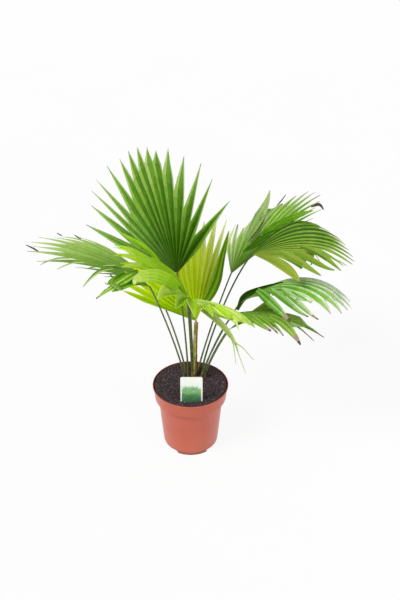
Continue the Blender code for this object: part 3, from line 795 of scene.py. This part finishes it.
    normal = addNode(tree, "GeometryNodeInputNormal")
    pleat = addNode(tree, "ShaderNodeVectorMath", {"operation": "SCALE"},
                    {0: normal, "Scale": known["fold"]})
    pleated = addNode(tree, "GeometryNodeSetPosition", None,
                      {"Geometry": (arrive, "Geometry"), "Offset": pleat})
    whole = addNode(tree, "GeometryNodeRealizeInstances", None, {"Geometry": pleated})
    tone = addNode(tree, "GeometryNodeInputNamedAttribute", {"data_type": "INT"}, {"Name": "tone"})
    skinned = whole
    for i in range(tones):
        same = addNode(tree, "FunctionNodeCompare", {"data_type": "INT", "operation": "EQUAL"},
                       {2: (tone, 0), 3: i})
        skinned = addNode(tree, "GeometryNodeSetMaterial", None,
                          {"Geometry": skinned, "Selection": same, "Material": (given, f"Tone {i}")})
    addNode(tree, "NodeGroupOutput", None, {"Geometry": skinned})
    return tree


def leafSkin(name, colour, roughness=0.4):
    # living palm leaf: waxy cuticle over parallel veins, so a soft gloss along the pleats
    material, tree, shader = newMaterial(name, colour, roughness, 1.45)
    uv = addNode(tree, "ShaderNodeUVMap", {"uv_map": "blade"})
    long = addNode(tree, "ShaderNodeMapping", None, {"Vector": uv, "Scale": (3.0, 22.0, 1.0)})
    streaks = addNode(tree, "ShaderNodeTexNoise", None, {"Vector": long, "Scale": 1.0, "Detail": 3.0})
    ramp = addNode(tree, "ShaderNodeValToRGB", None, {"Fac": (streaks, "Fac")})
    for stop, share, tint in zip(ramp.color_ramp.elements, (0.3, 0.7), ("#1E3A04", "#E0F070")):
        stop.position = share
        stop.color = linearColour(mixHex(colour, tint, 0.08))
    tree.links.new(ramp.outputs["Color"], shader.inputs["Base Color"])
    spread = addNode(tree, "ShaderNodeMapping", None, {"Vector": uv, "Scale": (7.0, 0.0, 0.0)})
    veins = addNode(tree, "ShaderNodeTexWave", {"bands_direction": "X"}, {"Vector": spread, "Scale": 1.0})
    bump = addNode(tree, "ShaderNodeBump", None,
                   {"Strength": 0.35, "Distance": 0.0003, "Height": (veins, "Fac")})
    tree.links.new(bump.outputs["Normal"], shader.inputs["Normal"])
    shader.inputs["Specular IOR Level"].default_value = 0.14
    return material


def leafSkins(key, look):
    skins = []
    greenSteps = fan["greenSteps"]
    for i in range(greenSteps):
        place = i / (greenSteps - 1) * (len(look["greens"]) - 1)
        low = min(int(place), len(look["greens"]) - 2)
        colour = mixHex(look["greens"][low], look["greens"][low + 1], place - low)
        skins.append(leafSkin(f"{key} leaf {i}", colour))
    return skins


def thicken(piece):
    skin = piece.modifiers.new("Thickness", "SOLIDIFY")
    skin.thickness = fan["thickness"]
    skin.offset = 0.0
    return skin


def makeLeaf(key, leaf, look, tree, dryEnds):
    blank = addObject(f"blank_{key}", leafBlank(key, leaf, look))
    modifier = blank.modifiers.new("Bend", "NODES")
    modifier.node_group = tree
    along, left, up = bladeAxes(leaf)
    values = {"Hub": Vector(leaf["hub"]) * mm, "Along": along, "Left": left, "Up": up,
              "Half Span": math.radians(leaf["span"] / 2), "Lift": math.radians(leaf["lift"]),
              "Sag": float(leaf["sag"]), "Lop": float(leaf["lop"]), "Reach": leaf["reach"] * mm}
    skins = leafSkins(key, look)
    for i, skin in enumerate(skins + dryEnds):
        values[f"Tone {i}"] = skin
    setInputs(modifier, values)
    blade = plainMesh(blank, f"leafBlade_{key}")
    blade.data.materials.append(leafSkin(f"{key} leaf underside", look["under"], 0.5))
    smoothShade(blade.data, fan["sharpFrom"])
    skin = thicken(blade)
    skin.material_offset = 99      # past the last slot, so the back takes the underside
    blade = plainMesh(blade, f"leafBlade_{key}")
    finishPiece(blade, look["slot"], f"frond_{key}")
    return skins


stalk = {"footRadius": 2.7 * mm, "tipRadius": 1.9 * mm, "points": 11, "heel": 1 * mm, "rise": 0.1,
         "arrival": 0.3, "reach": 0.3, "around": 14, "footShare": 0.1, "channel": 0.72, "sharpFrom": 60}
stalkTips = {"young": 5.4 * mm, "front": 4.8 * mm, "folded": 3.2 * mm}    # the rest: tipRadius
knob = ((-1.7, 0.58), (-0.9, 0.58), (-0.45, 0.62), (0, 0.66), (0.45, 0.6), (0.85, 0.4), (1, 0.15))
stem = {"foot": Vector((9 * mm, 46 * mm, soil["level"] + gap)),
        "top": Vector((13 * mm, 45.5 * mm, soil["level"] + 132 * mm)),
        "footRadius": 8.5 * mm, "waistRadius": 6.6 * mm, "topRadius": 5.4 * mm, "around": 96, "rows": 60,
        # each wrapped base: heading and width in degrees, and how far up it ends
        "sheaths": ((-150, 120, 0.32), (-20, 110, 0.5), (80, 120, 0.68), (170, 100, 0.84)),
        "sheathDepth": 0.11, "strandDepth": 0.025, "sharpFrom": 50,
        "skins": (("green leaf base", "#86A03E"), ("tan leaf base", "#C8A84C"),
                  ("olive leaf base", "#6A5720"), ("red-brown leaf foot", "#6B3F2A"))}


def stalkPath(key, leaf):
    hub = Vector(leaf["hub"]) * mm
    if leaf["foot"] is None:
        foot = stem["top"] + Vector((0, 0, gap))
        first = stem["topRadius"]
    else:
        foot = Vector((leaf["foot"][0] * mm, leaf["foot"][1] * mm, soil["level"] + gap))
        first = stalk["footRadius"]
    heel = foot + Vector((0, 0, stalk["heel"]))
    run = hub - heel
    arrival = run.normalized().lerp(bladeAxes(leaf)[0], stalk["arrival"]).normalized()
    a, b = heel, heel + Vector((0, 0, run.length * stalk["rise"]))
    c, d = hub - arrival * run.length * stalk["reach"], hub
    points = [foot]
    fine = 4 * stalk["points"]
    for i in range(fine):
        share = i / fine
        rest = 1 - share
        points.append(a * rest ** 3 + b * (3 * rest ** 2 * share)
                      + c * (3 * rest * share ** 2) + d * share ** 3)
    size = fan["hubRadius"] - gap
    while (hub - points[-1]).length < 2 * size:
        points.pop()
    tip = stalkTips.get(key, stalk["tipRadius"])
    radii = [first + (tip - first) * (i / len(points)) ** 0.6 for i in range(len(points))]
    onward = (hub - points[-1]).normalized()
    for place, radius in knob:
        points.append(hub + onward * (size * place))
        radii.append(size * radius * (tip / stalk["tipRadius"] if place < -1 else 1))
    return points, radii


def stalkTree():
    # a channelled stalk swept along its path, with a paler foot
    tree, given = newTree("stalkAlongPath", (("Around", "Int"), ("Foot Share", "Float"),
                                             ("Skin", "Material"), ("Foot Skin", "Material")))
    ring = addNode(tree, "GeometryNodeCurvePrimitiveCircle", None,
                   {"Resolution": (given, "Around"), "Radius": 1.0})
    place = addNode(tree, "GeometryNodeInputPosition")
    apart = addNode(tree, "ShaderNodeSeparateXYZ", None, {0: place})
    flatter = addNode(tree, "ShaderNodeMath", {"operation": "MINIMUM"},
                      {0: (apart, "Y"), 1: stalk["channel"]})
    channelled = addNode(tree, "ShaderNodeCombineXYZ", None, {"X": (apart, "X"), "Y": flatter})
    ring = addNode(tree, "GeometryNodeSetPosition", None, {"Geometry": ring, "Position": channelled})
    share = addNode(tree, "GeometryNodeSplineParameter")
    marked = addNode(tree, "GeometryNodeStoreNamedAttribute", {"data_type": "FLOAT", "domain": "POINT"},
                     {"Geometry": (given, "Geometry"), "Name": "share", "Value": (share, "Factor")})
    radius = addNode(tree, "GeometryNodeInputRadius")
    tube = addNode(tree, "GeometryNodeCurveToMesh", None,
                   {"Curve": marked, "Profile Curve": ring, "Scale": radius, "Fill Caps": True})
    whole = addNode(tree, "GeometryNodeRealizeInstances", None, {"Geometry": tube})
    skinned = addNode(tree, "GeometryNodeSetMaterial", None,
                      {"Geometry": whole, "Material": (given, "Skin")})
    known = addNode(tree, "GeometryNodeInputNamedAttribute", {"data_type": "FLOAT"}, {"Name": "share"})
    low = addNode(tree, "FunctionNodeCompare", {"operation": "LESS_THAN"},
                  {"A": (known, 0), "B": (given, "Foot Share")})
    skinned = addNode(tree, "GeometryNodeSetMaterial", None,
                      {"Geometry": skinned, "Selection": low, "Material": (given, "Foot Skin")})
    addNode(tree, "NodeGroupOutput", None, {"Geometry": skinned})
    return tree


def stalkSkin(name, colour, roughness=0.45):
    # green leaf stalk: smooth waxy rind with long faint grooves
    material, tree, shader = newMaterial(name, colour, roughness, 1.45)
    dark, light = mixHex(colour, "#1C2410", 0.22), mixHex(colour, "#C8D890", 0.16)
    place = mottle(tree, shader, dark, light, 120.0)[0]
    stretch = addNode(tree, "ShaderNodeMapping", None,
                      {"Vector": (place, "Object"), "Scale": (1400.0, 1400.0, 40.0)})
    shader.inputs["Specular IOR Level"].default_value = 0.25
    grooves = addNode(tree, "ShaderNodeTexNoise", None, {"Vector": stretch, "Scale": 1.0, "Detail": 2.0})
    bump = addNode(tree, "ShaderNodeBump", None,
                   {"Strength": 0.5, "Distance": 0.0003, "Height": (grooves, "Fac")})
    tree.links.new(bump.outputs["Normal"], shader.inputs["Normal"])
    return material


stalkColours = {"upright": "#56652F", "front": "#414C20", "young": "#94812C", "far_left": "#5A6642",
                "low_left": "#5C6648", "upper_right": "#596744", "right": "#4D5A3A",
                "mid_right": "#48543A", "low_right": "#515E38", "folded": "#55643A"}


def makeStalks():
    tree = stalkTree()
    foot = stalkSkin("sheathed stalk foot", "#6B6638", 0.6)
    for key, leaf in leaves.items():
        points, radii = stalkPath(key, leaf)
        curve = bpy.data.curves.new(f"stalk_{key}", "CURVE")
        curve.dimensions = "3D"
        spline = curve.splines.new("POLY")
        spline.points.add(len(points) - 1)
        for point, place, radius in zip(spline.points, points, radii):
            point.co = (*place, 1.0)
            point.radius = radius
        path = addObject(f"stalk_{key}", curve)
        modifier = path.modifiers.new("Sweep", "NODES")
        modifier.node_group = tree
        setInputs(modifier, {"Around": stalk["around"], "Foot Share": stalk["footShare"],
                             "Skin": stalkSkin(f"{key} stalk rind", stalkColours[key]), "Foot Skin": foot})
        piece = plainMesh(path, f"leafStalk_{key}")
        smoothShade(piece.data, stalk["sharpFrom"])
        finishPiece(piece, "petiole", f"petiole_{key}")


def stemSkin(name, colour, roughness=0.55):
    # wrapped leaf bases: fibrous, with long raised strands
    material, tree, shader = newMaterial(name, colour, roughness, 1.45)
    dark, light = mixHex(colour, "#2A1A0C", 0.3), mixHex(colour, "#F2E0A8", 0.2)
    place = mottle(tree, shader, dark, light, 160.0)[0]
    stretch = addNode(tree, "ShaderNodeMapping", None,
                      {"Vector": (place, "Object"), "Scale": (900.0, 900.0, 45.0)})
    strands = addNode(tree, "ShaderNodeTexNoise", None, {"Vector": stretch, "Scale": 1.0, "Detail": 3.0})
    bump = addNode(tree, "ShaderNodeBump", None,
                   {"Strength": 0.8, "Distance": 0.0006, "Height": (strands, "Fac")})
    tree.links.new(bump.outputs["Normal"], shader.inputs["Normal"])
    return material


def makeStem():
    around, rows = stem["around"], stem["rows"]
    mesh = bmesh.new()
    rings = []
    for row in range(rows + 1):
        share = row / rows
        centre = stem["foot"].lerp(stem["top"], share)
        radius = stem["waistRadius"] + (stem["topRadius"] - stem["waistRadius"]) * share
        radius += (stem["footRadius"] - stem["waistRadius"]) * (1 - share) ** 6
        ring = []
        for i in range(around):
            turn = math.tau * i / around
            relief = 0.0
            for heading, width, top in stem["sheaths"]:
                off = abs((math.degrees(turn) - heading + 180) % 360 - 180)
                inside = max(0.0, min(1.0, (width / 2 * (1 - 0.35 * share / top) - off) / 6))
                below = max(0.0, min(1.0, (top + 0.05 * math.sin(9 * turn) - share) / 0.03))
                relief = max(relief, stem["sheathDepth"] * inside * below)
            wander = 5 * noise.noise(Vector((turn * 3, share * 4, 0)))
            size = radius * (0.93 + relief + stem["strandDepth"] * math.sin(34 * turn + wander))
            ring.append(mesh.verts.new(centre + Vector((math.cos(turn), math.sin(turn), 0)) * size))
        rings.append(ring)
    for row in range(rows):
        share = row / rows
        for i in range(around):
            j = (i + 1) % around
            face = mesh.faces.new((rings[row][i], rings[row][j], rings[row + 1][j], rings[row + 1][i]))
            heading = (360 * i / around + 14 * math.sin(share * 9)) % 360
            if share < 0.1 + 0.03 * math.sin(5 * math.tau * i / around):
                face.material_index = 3
            elif 285 < heading or heading < 60:
                face.material_index = 2
            elif 245 < heading:
                face.material_index = 1
            else:
                face.material_index = 0
    mesh.faces.new(rings[0][::-1])
    mesh.faces.new(rings[-1])
    bases = addObject("leafBases", keepMesh("leafBases", mesh))
    smoothShade(bases.data, stem["sharpFrom"])
    for name, colour in stem["skins"]:
        bases.data.materials.append(stemSkin(name, colour))
    finishPiece(bases, "stem", "stem")


# Parts of leaves that lie off their fan, such as torn strips that hang. skin: whose greens, and the
# tone at the start and at the end. depth: how far behind the pot's middle it starts and ends, in mm.
# dry: how much of its end is dry. path: where the photograph shows it, as (pixel across, pixel
# down, half width in pixels). They are placed by how they look from the photograph's camera. 27 of
# the 45 touch nothing that is held: they stand 2 to 15 mm off a blade, and two threads about 45 mm
strands = {
    "front": (
        dict(skin=("front", 8, 7), depth=(-150, -70), pleats=2,             # the arm that reaches right
             path=((197, 302, 2.4), (205, 305, 4.2), (214, 309.5, 4.6), (223, 314, 4.0), (233, 317, 3.8),
                   (242, 319.5, 3.0), (250, 322.5, 0.6))),
        dict(skin=("strip", 0, 0), depth=(-95, -128), pleats=1,             # torn strip and its threads
             path=((202, 309, 2.4), (210, 314, 3.4), (217, 320, 3.2), (224, 327, 2.9), (230, 335, 2.3),
                   (235, 343, 1.0), (239, 355, 0.35), (245.6, 373, 0.2))),
        dict(skin=("strip", 0, 0), depth=(-124, -134), pleats=1,
             path=((231, 337, 1.0), (236, 343, 0.7), (243, 348, 0.4), (253.6, 360, 0.2))),
        dict(skin=("strip", 0, 0), depth=(-124, -132), pleats=1,
             path=((231, 337, 0.8), (233.5, 345, 0.5), (234.5, 353, 0.35), (236, 364, 0.2))),
        dict(skin=("front", 8, 9), depth=(-178, -182), pleats=1,
             path=((233, 320, 1.6), (236.5, 324, 1.2), (239, 330, 0.25))),
        dict(skin=("far_left", 9, 7), depth=(-150, -150), pleats=1,
             path=((247, 321, 1.4), (251, 324, 0.7), (255, 328, 0.2))),
        dict(skin=("front", 3, 5), depth=(-34, -64), pleats=3,              # blade below the tall leaf
             path=((150, 259, 3.0), (160, 267, 4.5), (169, 275, 5.6), (177, 285, 5.4), (185, 297, 3.2))),
        dict(skin=("front", 5, 2), depth=(10, -30), pleats=1,               # its uppermost leaflets
             path=((119, 232, 0.3), (128, 237, 1.2), (139, 243, 1.6), (150, 251.5, 1.8), (160, 263, 1.6))),
        dict(skin=("front", 6, 3), depth=(-44, -84), pleats=1,
             path=((114.5, 245, 0.3), (128, 248.5, 1.7), (141, 255, 2.5), (155, 264.5, 3.0),
                   (169, 276, 2.6))),
        dict(skin=("front", 6, 3), depth=(-66, -96), pleats=1,
             path=((116.5, 253.8, 0.3), (131, 256.5, 1.9), (146, 261.5, 2.6), (160, 270.5, 3.0),
                   (171, 280, 2.4))),
        dict(skin=("front", 5, 3), depth=(-84, -106), pleats=1,
             path=((120.5, 263.5, 0.3), (134, 264.5, 2.2), (149, 268.7, 2.9), (162, 276, 3.0),
                   (172, 284, 2.4))),
        dict(skin=("front", 9, 3), depth=(-186, -120), pleats=4,           # folded-over leaflets, palest at the bend as a painted highlight
             path=((134.5, 284.5, 0.6), (135.5, 280.5, 3.0), (141, 277.5, 5.0), (149, 275.8, 6.4),
                   (158, 276.5, 7.0), (168, 280.5, 6.4), (178, 288, 4.0))),
    ),
    "young": (
        dict(skin=("shaded", 1, 1), depth=(40, 62), pleats=2,               # its darkest leaflet
             path=((202, 303, 1.2), (207, 299, 4.2), (212, 290, 5.4), (216.5, 279, 5.2), (219.8, 266, 4.0),
                   (222.6, 254, 3.0), (225.5, 243, 1.8), (229, 231, 0.3))),
        dict(skin=("dry", 1, 1), depth=(38, 38), pleats=1,
             path=((117, 281.5, 0.9), (113, 277.5, 0.7), (110, 274.5, 0.4))),
    ),
    "mid_right": (
        dict(skin=("right", 0, 1), depth=(-6, -20), pleats=1,               # folded foot of the blade, its underside drawn in the darkest greens as painted shade
             path=((237.5, 310, 1.1), (240, 304, 2.2), (243, 298.5, 3.2), (247.5, 294.5, 3.2),
                   (253, 291.5, 2.6),
                   (261, 288, 1.5), (271, 285, 1.0), (283, 282, 0.6))),
        dict(skin=("mid_right", 3, 6), depth=(-100, -165), pleats=2, dry=0.24,
             path=((257, 290, 2.6), (264, 296, 4.6), (271, 302.5, 4.8), (278, 309, 3.8), (285, 316, 2.2),
                   (290, 321, 0.4))),
        dict(skin=("mid_right", 4, 6), depth=(-112, -165), pleats=1, dry=0.2,
             path=((271, 290, 2.4), (281, 297, 3.4), (289, 303.5, 3.0), (297, 310, 2.1), (303, 314, 1.3),
                   (308.5, 317, 0.3))),
        dict(skin=("mid_right", 5, 8), depth=(-118, -160), pleats=1, dry=0.24,
             path=((282, 289, 2.4), (292, 297, 3.4), (300, 304.5, 3.0), (307, 311, 2.1), (313, 316, 1.2),
                   (318.5, 319.7, 0.3))),
    ),
    "low_right": (
        dict(skin=("low_right", 3, 6), depth=(-72, -150), pleats=2, dry=0.2,
             path=((243, 313, 1.6), (250, 317, 3.0), (257, 321.5, 3.2), (264, 326.5, 2.2),
                   (271, 331, 0.6))),
        dict(skin=("low_right", 3, 5), depth=(-96, -165), pleats=1, dry=0.4,
             path=((258, 317, 1.6), (266, 322, 2.0), (272, 327.5, 1.4), (278, 333.5, 0.3))),
        dict(skin=("low_right", 3, 5), depth=(-96, -170), pleats=1, dry=0.3,
             path=((265, 318, 1.6), (273, 324, 1.8), (279, 330, 1.1), (283.5, 336, 0.3))),
        dict(skin=("low_right", 4, 8), depth=(-88, -185), pleats=2, dry=0.3,
             path=((269, 316, 2.4), (279, 320.5, 4.0), (286, 326, 4.4), (292, 332.5, 3.4),
                   (297, 339, 2.1), (300.5, 345, 0.5))),
        dict(skin=("low_right", 1, 4), depth=(-50, 0), pleats=1, dry=0.25,
             path=((276, 316, 1.6), (290, 320.5, 2.2), (302, 324.5, 2.0), (311, 329, 1.3),
                   (318, 333.5, 0.7), (324, 337.5, 0.25))),
        dict(skin=("low_right", 3, 6), depth=(-60, -60), pleats=1, dry=0.5,
             path=((289, 321.5, 1.2), (300, 328.5, 0.8), (307, 334.5, 0.5), (314, 341, 0.2))),
    ),
    "upper_right": (
        dict(skin=("upper_right", 6, 8), depth=(205, 400), pleats=2,
             path=((248, 244, 2.0), (256, 233, 4.0), (265, 221, 4.6), (274, 211.5, 3.4),
                   (283, 203.5, 0.5))),
        dict(skin=("upper_right", 6, 8), depth=(205, 462), pleats=2, dry=0.05,   # its tall leaflet
             path=((247, 238, 2.0), (253, 228, 4.4), (259, 217, 5.2), (264.5, 207, 3.8), (268, 198, 2.0),
                   (269.8, 190.5, 0.3))),
        dict(skin=("dry", 1, 1), depth=(285, 292), pleats=1,                # curled dead point
             path=((311, 206.5, 1.0), (316, 205, 1.4), (319, 204.5, 1.5), (321.5, 206.5, 1.1),
                   (323.5, 209.8, 0.4))),
        dict(skin=("low_left", 2, 6), depth=(205, 225), pleats=2,
             path=((262, 234, 1.2), (272, 227, 2.4), (283, 221.5, 3.0), (293, 217.5, 3.2),
                   (302, 214, 2.4), (308, 212, 1.3),
                   (313, 210.5, 0.3))),
        dict(skin=("dry", 1, 1), depth=(330, 330), pleats=1,
             path=((277, 205.5, 0.4), (281, 201, 0.6), (286, 194.5, 0.2))),
    ),
    "right": (
        dict(skin=("low_left", 0, 1), depth=(110, 62), pleats=3,            # its shaded upper foot
             path=((243, 251.5, 0.4), (250, 247.5, 2.4), (258, 242.5, 4.0), (268, 237, 4.6),
                   (280, 232, 3.8), (294, 229, 1.2))),
        dict(skin=("right", 5, 7), depth=(-46, -118), pleats=1,
             path=((280, 251.5, 2.4), (292, 258, 3.6), (303, 264, 3.2), (312, 270, 2.1),
                   (321, 275.7, 0.4))),
        dict(skin=("right", 5, 6), depth=(-52, -108), pleats=1,
             path=((294, 251.5, 2.4), (307, 257.5, 3.2), (318, 263.5, 2.7), (327, 268, 1.6),
                   (334.5, 270.2, 0.4))),
        dict(skin=("right", 4, 6), depth=(-38, -108), pleats=1,
             path=((301, 246, 2.2), (315, 251.5, 2.6), (327, 259, 2.4), (335, 265.5, 1.4),
                   (341, 270.8, 0.3))),
        dict(skin=("low_left", 2, 4), depth=(60, 72), pleats=2,             # blunt upper leaflet, in a darker leaf's greens as painted shade from the leaf above
             path=((266, 230, 1.2), (278, 227, 2.6), (291, 225.4, 3.0), (304, 225.6, 3.0), (313, 226, 2.5),
                   (318, 226.8, 1.5), (320.5, 227.5, 0.3))),
        dict(skin=("far_left", 8, 8), depth=(-24, -20), pleats=1,
             path=((314, 251.5, 0.4), (330, 257, 0.6), (341, 262, 0.4), (347, 266, 0.2))),
    ),
    "far_left": (
        dict(skin=("dry", 1, 1), depth=(100, 100), pleats=1,
             path=((39, 252, 0.6), (34, 248.8, 0.8), (30, 246.8, 0.6), (26, 245, 0.3))),
        dict(skin=("dry", 1, 1), depth=(165, 165), pleats=1,
             path=((81, 239, 0.5), (77.5, 237, 0.6), (74.5, 235, 0.3))),
        dict(skin=("dry", 1, 1), depth=(170, 170), pleats=1,
             path=((62, 235.5, 0.4), (59.5, 234.5, 0.5), (57, 233, 0.3))),
        dict(skin=("far_left", 5, 9), depth=(50, 10), pleats=1,             # leaflets that hook down
             path=((113, 268, 1.0), (102, 270, 2.0), (94, 275, 1.6), (88, 281, 0.9), (83, 287, 0.3))),
        dict(skin=("far_left", 6, 9), depth=(84, 76), pleats=1,
             path=((115, 264.5, 1.2), (104, 265.2, 1.1), (95, 266.8, 0.7), (88.3, 268.2, 0.25))),
        dict(skin=("far_left", 7, 9), depth=(60, 50), pleats=1,
             path=((84, 262, 1.0), (74, 262.5, 0.9), (65, 265.5, 0.6), (57, 269.5, 0.25))),
        dict(skin=("far_left", 7, 9), depth=(60, 50), pleats=1,
             path=((70, 258, 1.0), (58, 258.5, 0.9), (48, 261, 0.6), (40, 265, 0.25))),
    ),
    "low_left": (
        dict(skin=("low_left", 5, 8), depth=(-104, -138), pleats=2, dry=0.1,
             path=((138, 271, 1.6), (128, 277, 4.2), (118, 283.5, 3.8), (108, 290, 2.0), (96, 298.7, 0.3))),
        dict(skin=("low_left", 2, 5), depth=(-100, -150), pleats=1,
             path=((138, 279, 1.6), (129, 284, 3.2), (120, 288.5, 2.2), (112, 291.5, 0.4))),
        dict(skin=("dry", 0, 0), depth=(-120, -124), pleats=1,
             path=((106, 290, 1.4), (100.5, 295, 0.8), (96, 299, 0.25))),
    ),
}
stripForm = {"steps": 6, "facing": (0, -0.84, 0.54), "paintedPleatLight": 1.5}
stripTones = {
    "strip": (("torn leaf strip", "#A3B765"), ("torn leaf strip lit", "#BACB86")),
    "shaded": tuple((f"shaded young leaf {i}", colour)
                    for i, colour in enumerate(("#5C8C0A", "#6FA00E", "#84B018", "#9AC028"))),
}
# the lens is assumed; the camera's place and tilt are fitted to the pot's rim, collar and foot
photoCamera = {"place": (0.0238, -1.996, 1.7145), "tilt": 57.17, "lens": 60.0, "sensor": 36.0,
               "wide": 400, "high": 600}


def seenAt(across, down, depth):
    # the point at this depth that the photograph's camera sees at this pixel
    turned = Matrix.Rotation(math.radians(photoCamera["tilt"]), 3, "X")
    focus = photoCamera["lens"] / photoCamera["sensor"] * photoCamera["high"]
    ray = turned @ Vector((across - photoCamera["wide"] / 2, photoCamera["high"] / 2 - down, -focus))
    start = Vector(photoCamera["place"])
    far = (depth - start.y) / ray.y
    return start + ray * far, far


def smoothPath(points):
    # a curve through (place, half width) points
    fine = []
    for i in range(len(points) - 1):
        a, b, c, d = (points[min(max(i + k, 0), len(points) - 1)] for k in (-1, 0, 1, 2))
        for step in range(stripForm["steps"]):
            t = step / stripForm["steps"]
            weights = (-0.5 * t + t * t - 0.5 * t ** 3, 1 - 2.5 * t * t + 1.5 * t ** 3,
                       0.5 * t + 2 * t * t - 1.5 * t ** 3, -0.5 * t * t + 0.5 * t ** 3)
            place = sum((q[0] * w for q, w in zip((a, b, c, d), weights)), Vector())
            fine.append((place, b[1] + (c[1] - b[1]) * t))
    return fine + [points[-1]]


def makeStrands(key, skins):
    # a pleated strip of blade along each path, one side of every pleat painted lighter and the other darker,
    # as painted light and shade
    facing = Vector(stripForm["facing"])
    mesh = bmesh.new()
    used = []
    for strand in strands[key]:
        points = []
        near, far = strand["depth"]
        for i, (across, down, half) in enumerate(strand["path"]):
            share = i / (len(strand["path"]) - 1)
            place, scale = seenAt(across, down, (near + (far - near) * share) * mm)
            points.append((place, half * scale))
        fine = smoothPath(points)
        owner, first, last = strand["skin"]
        folds = 2 * strand["pleats"]
        before = None
        for i, (place, half) in enumerate(fine):
            ahead = fine[min(i + 1, len(fine) - 1)][0] - fine[max(i - 1, 0)][0]
            side = ahead.cross(facing).normalized()
            row = [mesh.verts.new(place + side * (half * (2 * j / folds - 1))
                                  + facing * (half / folds * (1 - 2 * (j % 2))))
                   for j in range(folds + 1)]
            for j in range(folds if before else 0):
                share = i / len(fine)
                # painted light on one side of each pleat, painted shade on the other
                light = 0 if owner == "dry" else stripForm["paintedPleatLight"] * (1 - 2 * (j % 2))
                shade = round(first + (last - first) * share + light)
                skin = skins[owner][min(max(shade, 0), len(skins[owner]) - 1)]
                if share > 1 - strand.get("dry", 0):
                    skin = skins["dry"][int(share > 1 - strand["dry"] / 2)]
                if skin not in used:
                    used.append(skin)
                face = mesh.faces.new((before[j], row[j], row[j + 1], before[j + 1]))
                face.material_index = used.index(skin)
            before = row
    layer = mesh.loops.layers.uv.new("blade")
    for face in mesh.faces:
        for loop, corner in zip(face.loops, ((0, 0), (0, 1), (1, 1), (1, 0))):
            loop[layer].uv = corner
    piece = addObject(f"leafStrands_{key}", keepMesh(f"leafStrands_{key}", mesh))
    for skin in used:
        piece.data.materials.append(skin)
    thicken(piece)
    piece = plainMesh(piece, f"leafStrands_{key}")
    finishPiece(piece, leafLooks[key]["slot"])


studio = {"room": 0.55, "key": 2.7, "keySoft": 24, "keyFrom": (-0.72, -0.5, 1.0), "floorGlow": 0.9,
          "floorHalf": 30.0, "floor": ("#3D3D3D", "#3F3F3F"), "fill": 24.0, "fillSize": 1.6,
          "fillFrom": (1.6, -1.8, 1.4), "fillAt": (0, 0, 0.4)}


def makeStage():
    mesh = bpy.data.meshes.new("floor")
    size = studio["floorHalf"]
    mesh.from_pydata([(-size, -size, 0), (size, -size, 0), (size, size, 0), (-size, size, 0)], [],
                     [(0, 1, 2, 3)])
    floor = bpy.data.objects.new("floor", mesh)
    bpy.context.scene.collection.objects.link(floor)
    material, tree, shader = newMaterial("pale studio floor", "#3E3E3E", 0.9)
    mottle(tree, shader, *studio["floor"], 3.0)
    shader.inputs["Emission Color"].default_value = (1, 1, 1, 1)
    shader.inputs["Emission Strength"].default_value = studio["floorGlow"]
    mesh.materials.append(material)
    world = bpy.data.worlds.new("studio")
    world.use_nodes = True
    back = world.node_tree.nodes["Background"]
    back.inputs["Color"].default_value = (1, 1, 1, 1)
    back.inputs["Strength"].default_value = studio["room"]
    bpy.context.scene.world = world
    sun = bpy.data.lights.new("key", "SUN")
    sun.energy = studio["key"]
    sun.angle = math.radians(studio["keySoft"])
    key = bpy.data.objects.new("key", sun)
    key.rotation_euler = Vector(studio["keyFrom"]).to_track_quat("Z", "Y").to_euler()
    bpy.context.scene.collection.objects.link(key)
    soft = bpy.data.lights.new("fill", "AREA")
    soft.size = studio["fillSize"]
    soft.energy = studio["fill"]
    fill = bpy.data.objects.new("fill", soft)
    fill.location = studio["fillFrom"]
    fill.rotation_euler = (Vector(studio["fillAt"]) - fill.location).to_track_quat("-Z", "Y").to_euler()
    bpy.context.scene.collection.objects.link(fill)


def makeCamera():
    data = bpy.data.cameras.new("camera")
    data.lens = photoCamera["lens"]
    data.sensor_width = photoCamera["sensor"]
    camera = bpy.data.objects.new("camera", data)
    camera.location = photoCamera["place"]
    camera.rotation_euler = (math.radians(photoCamera["tilt"]), 0, 0)
    bpy.context.scene.collection.objects.link(camera)
    bpy.context.scene.camera = camera
    bpy.context.scene.view_settings.view_transform = "Standard"


makeStage()
makeCamera()
print("stage, light and camera made")
makePot()
bed = makeSoil()
scatterCrumbs(bed)
finishPiece(bed, "soil", "soil")
makeLabel()
print("pot, soil and label made")
makeStem()
makeStalks()
print("stem and stalks made")
bendFan = fanTree()
dryEnds = [leafSkin(name, colour, 0.75) for name, colour in fan["dry"]]
skins = {"dry": dryEnds}
for owner, tones in stripTones.items():
    skins[owner] = [leafSkin(name, colour) for name, colour in tones]
for key, leaf in leaves.items():
    skins[key] = makeLeaf(key, leaf, leafLooks[key], bendFan, dryEnds)
for key in strands:
    makeStrands(key, skins)
print("leaves made:", len(leaves))
